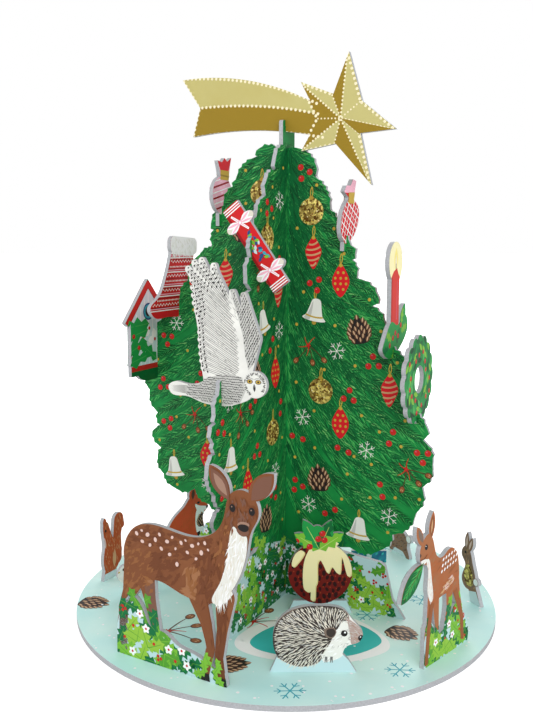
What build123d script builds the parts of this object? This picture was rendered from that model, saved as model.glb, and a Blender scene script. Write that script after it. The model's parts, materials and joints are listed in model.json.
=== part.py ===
from build123d import *
from collections import namedtuple
from math import cos, dist, radians, sin
import os

# A slot-together Christmas calendar scene: flat greyboard plates that cross in slots.
# Millimetres, +Z up. The origin is on the table, at the middle of the base disc.
# One tree panel lies along X, the other along Y, with its front wing towards -Y.

os.makedirs("parts", exist_ok=True)

# Boards and their fit
board = 2.0  # thickness of every upright plate
base_board = 2.4  # thickness of the round base
base_radius = 102.0
fit = 0.15  # play on each side of a board in its slot
slot = board + 2 * fit
tab_short = 0.2  # how far a foot tab stops above the table

# The crossed tree panels
cross_height = 108.0  # where the two half-lap slots meet
lap_gap = 0.3  # play between the ends of the two slots
lobe_bulge = 0.15  # how far a lobe of foliage swells, as a share of its chord
tuft = 3.2  # how much of a lobe's edge one tuft of needles takes
tuft_rise = 0.8  # how far the tip of a tuft stands out
panel_tab = 16.0
panel_tab_reach = 38.0

# The tab on top of the front panel, which carries the shooting star
top_tab_width = 12.0
top_tab_height = 231.8
top_tab_middle = 0.4
top_tab_corner = 1.2

# Where the plates on the wings cross them: place along the wing and height of the seat
star_at, star_seat = -2.0, top_tab_height - 2.4
cracker_at, cracker_seat = -34.0, 177.0
owl_at, owl_seat = -60.0, 112.6
pink_sweet_at, pink_sweet_seat = -36.0, 186.6
stocking_at, stocking_seat = -62.0, 142.0
house_at, house_seat = -76.0, 122.0
check_sweet_at, check_sweet_seat = 30.0, 175.0
candle_at, candle_seat = 53.5, 128.0
wreath_at, wreath_seat = 65.6, 98.4
slot_reach = 14.0  # how far a wing's slot is cut above its seat
slot_run = 40.0  # more than any plate hangs below its seat

# Height of each plate above the seat or the base that it stands on
star_height = 29.5
pink_sweet_height = 31.0
check_sweet_height = 29.8
cracker_height = 17.6
stocking_height = 37.4
house_height = 35.8
owl_height = 57.7
candle_height = 48.6
wreath_height = 37.7
deer_height = 90.0
young_deer_height = 66.6
hedgehog_height = 28.7
pudding_height = 45.8
fox_height = 35.0
squirrel_height = 33.6
thrush_height = 15.6
brown_hare_height = 14.0
gold_hare_height = 34.2
gift_height = 20.7

# Where the plates stand on the base: foot point, heading in degrees, tab middle and width
Stand = namedtuple("Stand", "x y heading tab_at tab_width")


def rim_stand(bearing, share, heading, tab_at, tab_width):
    """A stand at a bearing about the trunk, in degrees, and a share of the way to the rim."""
    reach = base_radius * share
    return Stand(reach * cos(radians(bearing)), reach * sin(radians(bearing)), heading, tab_at, tab_width)


deer_stand = rim_stand(-95.3, 0.867, -2.4, 0.0, 26.0)
young_deer_stand = rim_stand(-15.6, 0.89, 75.0, 0.0, 20.0)
hedgehog_stand = rim_stand(-60.4, 0.747, 28.0, 8.0, 16.0)
fox_stand = rim_stand(164.6, 0.814, 75.0, 6.0, 14.0)
squirrel_stand = rim_stand(-163.7, 0.908, 90.0, -1.5, 7.0)
thrush_stand = rim_stand(-152.7, 0.727, 60.0, 0.0, 5.0)
brown_hare_stand = rim_stand(59.0, 0.804, -37.0, -10.0, 8.0)
gold_hare_stand = rim_stand(17.6, 0.945, -37.0, -4.5, 5.0)
pudding_stand = Stand(25.7, -11.6, 28.4, -1.2, 12.0)
gift_stand = Stand(30.0, 36.0, 28.0, 0.5, 10.0)
front_stands = [Stand(0.0, 0.0, 90.0, side * panel_tab_reach, panel_tab) for side in (-1, 1)]
side_stands = [Stand(0.0, 0.0, 0.0, side * panel_tab_reach, panel_tab) for side in (-1, 1)]
figure_stands = [
    deer_stand,
    young_deer_stand,
    hedgehog_stand,
    pudding_stand,
    fox_stand,
    squirrel_stand,
    thrush_stand,
    brown_hare_stand,
    gold_hare_stand,
    gift_stand,
]

# Foliage edges of the wings, as reach from the trunk and height, from the top down.
# An arc swells outwards between each point and the next.
right_skirt = [
    (5.0, 219.6),
    (16.2, 209.5),
    (13.8, 206.8),
    (22.9, 191.0),
    (27.0, 181.0),
    (33.2, 175.0),
    (35.5, 171.5),
    (33.8, 168.5),
    (36.4, 160.2),
    (47.4, 151.0),
    (43.7, 147.8),
    (50.6, 139.0),
    (49.4, 131.0),
    (61.2, 121.0),
    (59.6, 102.6),
    (71.4, 93.8),
    (69.4, 88.8),
    (74.0, 78.0),
    (69.6, 67.0),
    (67.0, 54.5),
    (56.0, 42.5),
    (50.5, 34.0),
    (35.0, 32.6),
]
left_skirt = [
    (5.0, 220.4),
    (15.6, 219.2),
    (14.8, 216.5),
    (27.0, 206.2),
    (28.6, 203.0),
    (34.0, 194.0),
    (41.2, 185.4),
    (39.7, 182.4),
    (40.2, 173.6),
    (48.1, 170.3),
    (55.2, 157.0),
    (60.5, 147.6),
    (67.6, 140.0),
    (72.2, 136.4),
    (80.4, 124.4),
    (78.4, 117.0),
    (76.8, 110.0),
    (83.0, 104.6),
    (80.6, 99.0),
    (75.6, 87.0),
    (76.2, 83.4),
    (72.8, 79.4),
    (79.4, 76.4),
    (73.6, 68.0),
    (76.2, 62.0),
    (72.4, 54.0),
    (66.0, 47.4),
    (52.8, 48.6),
    (44.0, 41.4),
    (34.0, 38.4),
]
front_skirt = [
    (5.0, 220.6),
    (12.6, 213.5),
    (12.2, 209.0),
    (21.8, 203.0),
    (22.0, 197.0),
    (30.5, 187.5),
    (34.9, 178.5),
    (35.3, 170.0),
    (37.4, 168.2),
    (38.9, 161.5),
    (34.8, 155.7),
    (46.0, 146.0),
    (44.6, 141.0),
    (54.6, 130.0),
    (53.2, 125.6),
    (63.0, 113.5),
    (65.8, 105.3),
    (65.6, 101.8),
    (69.1, 99.0),
    (67.2, 93.7),
    (66.2, 88.8),
    (71.4, 85.0),
    (66.4, 71.0),
    (60.7, 63.6),
    (68.2, 60.0),
    (62.0, 53.0),
    (52.0, 42.0),
    (38.0, 38.2),
]
# The snow bank at the foot of each wing, from the notch under the skirt down to the base
right_bank = [(27.6, 31.4), (31.0, 29.8), (50.4, 28.0), (52.8, 26.4), (56.6, 11.0), (62.8, base_board)]
left_bank = [(27.0, 36.8), (31.0, 34.4), (46.0, 31.0), (50.0, 24.0), (56.0, 10.0), (62.8, base_board)]
front_bank = [(29.0, 36.4), (32.0, 34.6), (44.0, 33.8), (47.0, 31.4), (50.4, 18.0), (57.1, base_board)]


def upright(x, y, heading, seat=0.0):
    """Plane of an upright plate: its X runs along the heading, its Y up from the seat."""
    turn = radians(heading)
    return Plane(
        origin=(x, y, seat),
        x_dir=(cos(turn), sin(turn), 0),
        z_dir=(sin(turn), -cos(turn), 0),
    )


def crown(start, end, bulge):
    """Middle of an arc from start to end that swells to the left of the way along it."""
    (x1, y1), (x2, y2) = start, end
    return (x1 + x2) / 2 - (y2 - y1) * bulge, (y1 + y2) / 2 + (x2 - x1) * bulge


def fringe(start, end):
    """Points along a lobe that swells from start to end, edged with pointed needle tufts."""
    (x1, y1), (x2, y2) = start, end
    length = dist(start, end)
    count = max(1, round(length / tuft))
    points = []
    for step in range(2 * count):
        share = (step // 2 + (0.65, 1.0)[step % 2]) / count
        swell = 4 * share * (1 - share)
        out = lobe_bulge * swell
        if step % 2 == 0 and swell > 0.6:
            out += tuft_rise / length
        points.append((x1 + (x2 - x1) * share - (y2 - y1) * out, y1 + (y2 - y1) * share + (x2 - x1) * out))
    return points


def wing(skirt, bank, side):
    """Half of a tree panel, from the trunk outwards, to side 1 or -1."""

    def place(point):
        return side * point[0], point[1]

    edge = [skirt[0]]
    for start, end in zip(skirt, skirt[1:]):
        edge += fringe(start, end)
    plate(*[place(point) for point in [*edge, *bank, (0, base_board), (0, skirt[0][1])]])


def blob(*points):
    """A smooth closed shape through the points."""
    with BuildLine() as outline:
        Spline(*points, periodic=True)
    make_face(outline.edges())


def plate(*points):
    """A shape with straight sides."""
    Polygon(*points, align=None)


def leaf(root, tip, width):
    """A pointed oval from root to tip, as for an ear, a leaf or a feather."""
    bulge = width / 2 / (Vector(*tip) - Vector(*root)).length
    with BuildLine() as outline:
        ThreePointArc(root, crown(root, tip, bulge), tip)
        ThreePointArc(tip, crown(tip, root, bulge), root)
    make_face(outline.edges())


def limb(*joints):
    """A chain of tapering rounded bars through joints given as (x, y, radius)."""
    for (x1, y1, r1), (x2, y2, r2) in zip(joints, joints[1:]):
        along = Vector(x2 - x1, y2 - y1)
        length = along.length
        lean = (r1 - r2) / length
        spread = (1 - lean**2) ** 0.5
        forward = along / length
        across = Vector(-forward.Y, forward.X)
        left = forward * lean + across * spread
        right = forward * lean - across * spread
        a, b = Vector(x1, y1), Vector(x2, y2)
        Polygon(a + left * r1, b + left * r2, b + right * r2, a + right * r1, align=None)
    for x, y, radius in joints:
        with Locations((x, y)):
            Circle(radius)


def grow_to(drawing, height):
    """Scale the drawing about its seat, so that it rises this high above it."""
    scale(by=height / drawing.sketch_local.bounding_box().max.Y)


def seat_on_base(stand):
    """Cut a figure flat where it meets the base, and give it the tab that goes through."""
    Rectangle(2 * base_radius, base_radius, align=(Align.CENTER, Align.MAX), mode=Mode.SUBTRACT)
    foot_tab(stand)


def foot_tab(stand, top=0.0):
    """The tab under a plate, which goes into its slot in the base."""
    with Locations((stand.tab_at, top)):
        Rectangle(stand.tab_width, base_board - tab_short, align=(Align.CENTER, Align.MAX))


def straddle():
    """The slot from below in a plate that straddles a wing, up to its seat on the wing."""
    Rectangle(slot, slot_run, align=(Align.CENTER, Align.MAX), mode=Mode.SUBTRACT)


def wing_slot(at, seat):
    """The slot from above in a wing, down to the seat of the plate that straddles it."""
    with Locations((at, seat)):
        Rectangle(slot, slot_reach, align=(Align.CENTER, Align.MIN), mode=Mode.SUBTRACT)


# Base disc, with a slot for every tab
with BuildPart() as base_disc:
    with BuildSketch():
        Circle(base_radius)
        for stand in front_stands + side_stands + figure_stands:
            turn = radians(stand.heading)
            middle = (stand.x + stand.tab_at * cos(turn), stand.y + stand.tab_at * sin(turn))
            with Locations(Location((*middle, 0), (0, 0, stand.heading))):
                Rectangle(stand.tab_width + 2 * fit, slot, mode=Mode.SUBTRACT)
    extrude(amount=base_board)
base_disc.part.label = "base_disc"

# Front tree panel: its slot for the other panel opens downwards
with BuildPart() as tree_panel_front:
    with BuildSketch(upright(0, 0, 90)):
        wing(front_skirt, front_bank, -1)
        wing(front_skirt, front_bank, 1)
        with Locations((top_tab_middle, top_tab_height)):
            size = (top_tab_width, top_tab_height - cross_height)
            RectangleRounded(*size, top_tab_corner, align=(Align.CENTER, Align.MAX))
        for stand in front_stands:
            foot_tab(stand, base_board)
        with Locations((0, cross_height + lap_gap / 2)):
            Rectangle(slot, cross_height, align=(Align.CENTER, Align.MAX), mode=Mode.SUBTRACT)
        wing_slot(star_at, star_seat)
        wing_slot(cracker_at, cracker_seat)
        wing_slot(owl_at, owl_seat)
    extrude(amount=board / 2, both=True)
tree_panel_front.part.label = "tree_panel_front"

# Side tree panel: its slot opens upwards
with BuildPart() as tree_panel_side:
    with BuildSketch(upright(0, 0, 0)):
        wing(left_skirt, left_bank, -1)
        wing(right_skirt, right_bank, 1)
        for stand in side_stands:
            foot_tab(stand, base_board)
        with Locations((0, cross_height - lap_gap / 2)):
            depth = top_tab_height - cross_height
            Rectangle(slot, depth, align=(Align.CENTER, Align.MIN), mode=Mode.SUBTRACT)
        for at, seat in [
            (pink_sweet_at, pink_sweet_seat),
            (stocking_at, stocking_seat),
            (house_at, house_seat),
            (check_sweet_at, check_sweet_seat),
            (candle_at, candle_seat),
            (wreath_at, wreath_seat),
        ]:
            wing_slot(at, seat)
    extrude(amount=board / 2, both=True)
tree_panel_side.part.label = "tree_panel_side"

def star_outline(middle, waist, tips):
    """Tips of a star, given by reach and angle, and a waist halfway between each two."""
    corners = []
    for (reach, angle), (_, following) in zip(tips, tips[1:] + [(0, tips[0][1] + 360)]):
        for distance, direction in ((reach, angle), (waist, (angle + following) / 2)):
            turn = radians(direction)
            corners.append((middle[0] + distance * cos(turn), middle[1] + distance * sin(turn)))
    return corners


# Each plate is drawn in the proportions it has here, then grown to its named height.
# Shooting star: five uneven points about a middle, and a forked tail to the left
with BuildPart() as shooting_star:
    with BuildSketch(upright(0, star_at, 0, star_seat)) as drawing:
        with BuildLine():
            ThreePointArc((-55.2, 25.0), (-21.0, 22.2), (17.0, 8.2))
            Line((17.0, 8.2), (20.0, -6.2))
            ThreePointArc((20.0, -6.2), (-16.0, -1.1), (-49.5, -2.2))
            Polyline((-49.5, -2.2), (-45.3, 11.1), (-55.2, 25.0))
        make_face()
        tips = [(28.0, 84.0), (26.5, 140.0), (24.0, 214.0), (33.0, 296.0), (26.0, 346.0)]
        plate(*star_outline((29.0, 1.6), 11.4, tips))
        grow_to(drawing, star_height)
        straddle()
    extrude(amount=board / 2, both=True)
shooting_star.part.label = "shooting_star"

# Wrapped sweet with a round middle, on the left wing
with BuildPart() as pink_sweet:
    with BuildSketch(upright(pink_sweet_at, 0, 90, pink_sweet_seat)) as drawing:
        with Locations((0.2, 12.4)):
            Circle(9.1)
        plate(
            (-1.0, 19.4), (-4.0, 28.8), (-0.4, 28.2), (2.2, 30.4), (4.6, 28.8), (8.4, 31.0),
            (5.6, 19.4),
        )
        plate((-3.2, -2.4), (-3.2, 7.4), (3.2, 7.4), (3.2, -2.4))
        grow_to(drawing, pink_sweet_height)
        straddle()
    extrude(amount=board / 2, both=True)
pink_sweet.part.label = "pink_sweet"

# Wrapped sweet with a long middle, on the right wing
with BuildPart() as check_sweet:
    with BuildSketch(upright(check_sweet_at, 0, 90, check_sweet_seat)) as drawing:
        blob(
            (1.8, 20.6), (-3.6, 16.8), (-6.8, 11.0), (-7.0, 5.6), (-3.0, 1.4), (3.0, 1.6),
            (9.0, 5.4), (13.2, 11.0), (13.6, 16.4), (8.6, 20.0),
        )
        plate(
            (0.6, 18.0), (1.0, 21.6), (-3.8, 23.8), (-1.2, 26.6), (3.6, 26.8), (6.2, 29.8),
            (10.0, 29.2), (6.2, 18.0),
        )
        plate((-3.2, -2.6), (-3.2, 7.0), (3.2, 7.0), (3.2, -2.6))
        grow_to(drawing, check_sweet_height)
        straddle()
    extrude(amount=board / 2, both=True)
check_sweet.part.label = "check_sweet"

# Cracker: a slanting tube tied twice, with flared ends
with BuildPart() as cracker:
    with BuildSketch(upright(0, cracker_at, 0, cracker_seat)) as drawing:
        with Locations(Location((2.7, -2.4, 0), (0, 0, -54))):
            Rectangle(43.0, 8.8)
            with Locations((-12.6, -4.4), (-12.6, 4.4), (12.6, -4.4), (12.6, 4.4)):
                Ellipse(2.2, 3.4)
        grow_to(drawing, cracker_height)
        straddle()
    extrude(amount=board / 2, both=True)
cracker.part.label = "cracker"

# Stocking: cuff, leg and foot
with BuildPart() as stocking:
    with BuildSketch(upright(stocking_at, 0, 90, stocking_seat)) as drawing:
        blob(
            (-6.8, 29.0), (-9.6, 21.6), (-13.0, 14.5), (-19.4, 6.6), (-25.4, 1.8),
            (-23.0, -1.8), (-12.0, -2.8), (0.0, -3.0), (6.4, 0.6), (8.8, 8.0), (10.6, 18.0),
            (12.6, 29.0), (3.0, 31.0),
        )
        with Locations(Location((4.4, 32.6, 0), (0, 0, -3))):
            RectangleRounded(23.6, 8.6, 3.0)
        grow_to(drawing, stocking_height)
        straddle()
    extrude(amount=board / 2, both=True)
stocking.part.label = "stocking"

# Bird house: wall, pitched roof, planted trough and holly at the side
with BuildPart() as bird_house:
    with BuildSketch(upright(house_at, 0, 90, house_seat)) as drawing:
        with Locations((-8.2, 0)):
            plate((-15.0, -13.0), (-15.0, 16.0), (0.0, 33.0), (15.0, 16.0), (15.0, -13.0))
            plate(
                (0.0, 35.8), (19.2, 14.6), (16.4, 12.6), (0.0, 30.6), (-16.4, 12.6),
                (-19.2, 14.6),
            )
            blob(
                (-19.0, -10.6), (-15.4, -15.0), (-6.0, -16.4), (6.0, -16.4), (15.4, -15.0),
                (19.0, -10.6), (0.0, -9.0),
            )
            leaf((-12.0, 13.0), (-20.0, 11.4), 5.0)
            leaf((-11.0, 10.0), (-22.6, 5.6), 7.0)
            leaf((-11.0, 5.0), (-23.4, -2.4), 8.0)
            leaf((-12.0, -4.0), (-24.0, -7.0), 6.0)
        grow_to(drawing, house_height)
        straddle()
    extrude(amount=board / 2, both=True)
bird_house.part.label = "bird_house"

# Owl in flight: body, tail and head, and two raised wings made of fanned feathers
with BuildPart() as owl:
    with BuildSketch(upright(0, owl_at, 0, owl_seat)) as drawing:
        blob(
            (-24.4, 3.8), (-25.8, 1.8), (-24.8, -0.4), (-17.3, -1.3), (-8.9, -3.4),
            (-2.2, -4.1), (3.5, -3.9), (9.9, -2.2), (15.6, 1.6), (14.0, 9.0),
            (6.0, 11.0), (-4.0, 8.4), (-9.6, 5.0), (-18.1, 4.2),
        )
        with Locations((17.0, 6.2)):
            Ellipse(5.4, 5.6)
        plate(
            (-7.6, 5.0), (-9.2, 14.0), (-10.4, 28.0), (-12.6, 39.0), (-11.6, 46.0), (-0.6, 52.6),
            (3.9, 44.4), (8.5, 33.7), (10.9, 25.0), (11.8, 18.8), (13.0, 10.0), (9.0, 5.0),
        )
        for tip in [(-14.9, 52.6), (-11.7, 55.2), (-8.2, 56.2), (-2.4, 54.0)]:
            limb((-2.0, 40.0, 4.2), (*tip, 1.5))
        for x, y in [
            (-13.4, 48.2), (-13.0, 45.0), (-12.6, 41.8), (-12.2, 38.6), (-11.2, 35.4), (-10.2, 32.4),
            (-9.8, 29.4), (-9.7, 26.4), (-9.6, 23.4), (-9.4, 20.4), (-9.2, 17.4), (-8.8, 14.4), (-8.2, 11.4),
        ]:
            limb((x + 5.0, y - 4.0, 1.8), (x, y, 1.0))
        limb((13.0, 12.0, 3.0), (15.6, 25.0, 4.0), (11.8, 42.4, 1.4))
        limb((10.0, 16.0, 3.0), (10.6, 28.0, 4.2), (6.4, 43.4, 1.5))
        grow_to(drawing, owl_height)
        straddle()
    extrude(amount=board / 2, both=True)
owl.part.label = "owl"

# Candle in a bunch of holly
with BuildPart() as candle:
    with BuildSketch(upright(candle_at, 0, 90, candle_seat)) as drawing:
        with Locations((0.2, 39.4)):
            Ellipse(8.6, 9.2)
        with Locations((0.0, 22.0)):
            Rectangle(10.2, 32.0)
        blob(
            (-14.6, 3.0), (-9.6, 9.0), (-4.0, 13.0), (4.0, 11.0), (11.0, 15.4),
            (16.4, 14.0), (17.6, 9.0), (10.0, 2.0), (2.0, -1.8), (-9.0, -2.2),
        )
        leaf((8.0, 8.0), (13.6, 20.6), 6.6)
        grow_to(drawing, candle_height)
        straddle()
    extrude(amount=board / 2, both=True)
candle.part.label = "candle"

# Wreath: a ring of leaf tips about an open middle
with BuildPart() as wreath:
    with BuildSketch(upright(wreath_at, 0, 90, wreath_seat)) as drawing:
        with Locations((0.0, 17.6)):
            Circle(18.6)
            with PolarLocations(17.4, 16):
                Ellipse(2.7, 3.4)
            Circle(6.2, mode=Mode.SUBTRACT)
        grow_to(drawing, wreath_height)
        straddle()
    extrude(amount=board / 2, both=True)
wreath.part.label = "wreath"

# Deer on a bank of holly
with BuildPart() as deer:
    with BuildSketch(upright(*deer_stand[:3], base_board)) as drawing:
        blob(
            (-22.2, 41.6), (-21.6, 51.0), (-15.8, 58.2), (-6.0, 60.5), (7.0, 59.1), (18.4, 60.2),
            (25.0, 64.6), (28.2, 71.6), (30.6, 79.2), (36.6, 81.8), (42.4, 78.2), (43.2, 72.0),
            (40.6, 67.0), (38.6, 59.2), (36.2, 50.2), (31.6, 41.2), (26.0, 35.0), (18.0, 33.0),
            (6.0, 34.2), (-6.0, 37.0), (-15.0, 35.6),
        )
        leaf((30.4, 77.2), (21.4, 89.6), 7.4)
        leaf((39.0, 78.2), (50.0, 90.0), 8.0)
        limb((-15.4, 41.6, 7.2), (-20.4, 28.6, 3.2), (-24.0, 20.6, 2.2), (-24.6, 1.6, 2.0))
        limb((-11.6, 39.6, 5.0), (-9.4, 28.6, 3.2), (-6.6, 16.6, 2.1), (-6.0, 9.6, 2.1))
        limb((14.0, 37.6, 5.0), (19.0, 24.6, 2.8), (21.2, 14.6, 2.0), (18.0, 2.6, 2.3))
        limb((28.0, 37.6, 4.6), (26.6, 23.6, 2.5), (25.0, 11.6, 2.0), (26.6, 0.6, 2.0))
        blob(
            (-27.6, -0.4), (-27.4, 9.6), (-24.0, 22.6), (-18.6, 27.4), (-13.0, 22.6), (-9.0, 16.2),
            (-2.0, 15.2), (4.0, 11.6), (12.0, 10.0), (20.0, 7.6), (26.4, 5.0), (28.4, -0.4),
            (0.0, -4.4),
        )
        grow_to(drawing, deer_height)
        seat_on_base(deer_stand)
    extrude(amount=board / 2, both=True)
deer.part.label = "deer"

# Young deer with a sprig of fir in its mouth
with BuildPart() as young_deer:
    with BuildSketch(upright(*young_deer_stand[:3], base_board)) as drawing:
        blob(
            (-20.8, 51.4), (-18.4, 56.0), (-14.4, 57.8), (-11.6, 55.2), (-9.6, 50.2), (-7.4, 46.2),
            (-3.0, 45.0), (0.6, 46.6), (4.2, 46.8), (8.2, 43.4), (10.2, 36.6), (9.8, 30.0),
            (6.0, 27.0), (0.0, 27.8), (-6.0, 27.4), (-11.0, 28.2), (-13.8, 31.0), (-14.4, 38.6),
            (-16.0, 45.0), (-19.8, 46.8),
        )
        leaf((-18.8, 53.6), (-23.2, 62.8), 4.2)
        leaf((-13.2, 54.4), (-11.4, 66.6), 4.4)
        limb((-11.4, 31.6, 2.6), (-12.8, 17.6, 1.6), (-14.0, 1.6, 1.6))
        limb((-8.0, 30.6, 2.6), (-6.6, 17.6, 1.6), (-5.6, 5.6, 1.6))
        limb((6.6, 33.2, 3.6), (9.6, 23.6, 2.2), (13.6, 13.6, 1.5), (14.6, 3.6, 1.5))
        limb((3.0, 30.6, 3.0), (3.0, 21.6, 2.0), (0.4, 11.6, 1.5))
        blob(
            (-17.0, -1.4), (-15.6, 9.6), (-13.2, 19.2), (-10.4, 18.2), (-7.0, 12.0), (-2.0, 12.0),
            (3.0, 15.2), (8.0, 20.6), (12.0, 18.0), (17.0, 11.6), (19.8, 5.2), (19.0, -1.4),
            (0.0, -5.4),
        )
        leaf((-18.4, 46.4), (-33.4, 33.8), 8.4)
        grow_to(drawing, young_deer_height)
        seat_on_base(young_deer_stand)
    extrude(amount=board / 2, both=True)
young_deer.part.label = "young_deer"

# Hedgehog on a low mound
with BuildPart() as hedgehog:
    with BuildSketch(upright(*hedgehog_stand[:3], base_board)) as drawing:
        blob(
            (-7.4, 8.6), (-8.4, 15.0), (-6.6, 21.6), (-1.6, 26.4), (6.0, 28.5), (14.0, 28.6),
            (20.6, 26.8), (24.0, 22.6), (28.2, 16.2), (26.6, 13.2), (21.6, 11.2), (19.0, 5.6),
            (8.0, 3.2), (-3.0, 4.0),
        )
        plate((-9.6, 0.0), (-6.4, 7.2), (20.0, 8.0), (22.6, 5.2), (25.8, 0.0))
        grow_to(drawing, hedgehog_height)
        seat_on_base(hedgehog_stand)
    extrude(amount=board / 2, both=True)
hedgehog.part.label = "hedgehog"

# Pudding with holly on top
with BuildPart() as pudding:
    with BuildSketch(upright(*pudding_stand[:3], base_board)) as drawing:
        with Locations((-1.2, 20.0)):
            Circle(15.0)
        plate((-16.4, 0.0), (-13.6, 6.2), (11.4, 6.2), (14.0, 0.0))
        for tip in [(-13.4, 39.0), (-9.4, 45.8), (4.0, 45.6), (9.6, 39.2)]:
            leaf((-1.6, 31.6), tip, 6.4)
        with Locations((-2.6, 40.0)):
            Circle(3.0)
        grow_to(drawing, pudding_height)
        seat_on_base(pudding_stand)
    extrude(amount=board / 2, both=True)
pudding.part.label = "pudding"

# Fox, sitting
with BuildPart() as fox:
    with BuildSketch(upright(*fox_stand[:3], base_board)) as drawing:
        blob(
            (-8.6, -1.4), (-10.4, 7.2), (-7.0, 15.2), (-1.0, 21.0), (5.4, 25.2), (9.6, 29.2),
            (14.6, 29.4), (19.0, 25.4), (22.6, 20.2), (19.6, 17.6), (19.4, 9.6), (20.8, -1.4),
            (6.0, -3.4),
        )
        leaf((10.4, 25.6), (11.2, 35.0), 5.2)
        leaf((15.6, 25.6), (17.8, 34.0), 5.2)
        leaf((-2.0, 1.6), (-16.0, 14.6), 8.4)
        grow_to(drawing, fox_height)
        seat_on_base(fox_stand)
    extrude(amount=board / 2, both=True)
fox.part.label = "fox"

# Squirrel with a raised tail, on a narrow foot
with BuildPart() as squirrel:
    with BuildSketch(upright(*squirrel_stand[:3], base_board)) as drawing:
        blob(
            (-7.0, 30.2), (-6.8, 24.6), (-6.0, 18.6), (-7.2, 12.2), (-6.6, 6.4), (-3.6, 2.0),
            (1.4, 3.0), (6.0, 8.0), (7.4, 14.2), (3.0, 18.6), (-0.6, 23.6), (-2.4, 28.6),
            (-4.4, 31.2),
        )
        leaf((-5.6, 28.6), (-5.8, 33.6), 2.8)
        limb((3.6, 9.6, 3.8), (4.0, 21.6, 3.2), (5.6, 29.6, 3.8), (8.4, 26.0, 1.7))
        plate((-7.6, 0.0), (-6.0, 6.6), (2.4, 6.6), (3.2, 0.0))
        grow_to(drawing, squirrel_height)
        seat_on_base(squirrel_stand)
    extrude(amount=board / 2, both=True)
squirrel.part.label = "squirrel"

# Thrush on a narrow foot
with BuildPart() as thrush:
    with BuildSketch(upright(*thrush_stand[:3], base_board)) as drawing:
        blob(
            (-10.6, 12.0), (-7.6, 15.2), (-2.0, 15.0), (5.0, 11.2), (13.0, 7.0), (5.0, 4.8),
            (-1.6, 3.8), (-7.0, 5.6),
        )
        plate((-5.6, 0.0), (-4.6, 6.6), (2.6, 6.6), (4.6, 0.0))
        grow_to(drawing, thrush_height)
        seat_on_base(thrush_stand)
    extrude(amount=board / 2, both=True)
thrush.part.label = "thrush"

# Brown hare, seen from behind
with BuildPart() as brown_hare:
    with BuildSketch(upright(*brown_hare_stand[:3], base_board)) as drawing:
        blob(
            (-21.6, 4.6), (-20.6, 9.2), (-14.0, 12.8), (-6.8, 13.8), (-3.0, 10.6), (-3.4, 5.2),
            (-8.0, 2.8), (-15.0, 2.6),
        )
        with Locations((-1.4, 11.4)):
            Circle(2.3)
        limb((-5.6, 5.6, 2.8), (-2.0, 1.0, 1.6))
        limb((-17.4, 5.0, 2.4), (-18.6, 0.6, 1.5))
        leaf((-19.4, 6.6), (-25.4, 14.0), 3.2)
        plate((-16.6, 0.0), (-14.0, 4.6), (-7.0, 4.6), (-3.0, 0.0))
        grow_to(drawing, brown_hare_height)
        seat_on_base(brown_hare_stand)
    extrude(amount=board / 2, both=True)
brown_hare.part.label = "brown_hare"

# Gold hare, sitting up
with BuildPart() as gold_hare:
    with BuildSketch(upright(*gold_hare_stand[:3], base_board)) as drawing:
        blob(
            (-14.8, 8.0), (-14.6, 13.0), (-13.2, 18.0), (-15.8, 21.2), (-15.2, 25.2),
            (-12.0, 27.2), (-9.4, 24.6), (-7.6, 19.6), (-5.6, 14.6), (-5.2, 9.2), (-8.4, 6.0),
            (-12.4, 5.8),
        )
        leaf((-12.6, 24.6), (-12.0, 34.2), 3.2)
        leaf((-10.8, 24.2), (-8.2, 32.2), 3.2)
        with Locations((-4.8, 11.0)):
            Circle(1.9)
        plate((-10.8, 7.6), (-5.2, 9.6), (-0.6, 0.0), (-8.0, 0.0))
        grow_to(drawing, gold_hare_height)
        seat_on_base(gold_hare_stand)
    extrude(amount=board / 2, both=True)
gold_hare.part.label = "gold_hare"

# Gift box with a bow
with BuildPart() as gift_box:
    with BuildSketch(upright(*gift_stand[:3], base_board)) as drawing:
        plate((-8.6, 0.0), (-8.6, 15.2), (9.6, 15.2), (9.6, 0.0))
        leaf((0.5, 14.2), (-6.4, 20.6), 5.0)
        leaf((0.5, 14.2), (7.4, 20.6), 5.0)
        grow_to(drawing, gift_height)
        seat_on_base(gift_stand)
    extrude(amount=board / 2, both=True)
gift_box.part.label = "gift_box"

pieces = [
    base_disc,
    tree_panel_front,
    tree_panel_side,
    shooting_star,
    pink_sweet,
    check_sweet,
    cracker,
    stocking,
    bird_house,
    owl,
    candle,
    wreath,
    deer,
    young_deer,
    hedgehog,
    pudding,
    fox,
    squirrel,
    thrush,
    brown_hare,
    gold_hare,
    gift_box,
]
for piece in pieces:
    export_step(piece.part, f"parts/{piece.part.label}.step")
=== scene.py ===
"""Prints, board and studio for a slot-together Christmas calendar scene.

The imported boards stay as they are. Each gets a finish for its greyboard, with a ground colour on
its faces, and a print of flat inked shapes, cut to its outline: on both faces of a plate, and on the
upper face of the base.
"""

import json
import logging
import math
import random
from collections import Counter
from dataclasses import dataclass, field
from enum import Enum
from typing import Iterable, Optional, Sequence

import bpy
import numpy as np
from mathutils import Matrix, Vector
from mathutils.geometry import delaunay_2d_cdt

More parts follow.
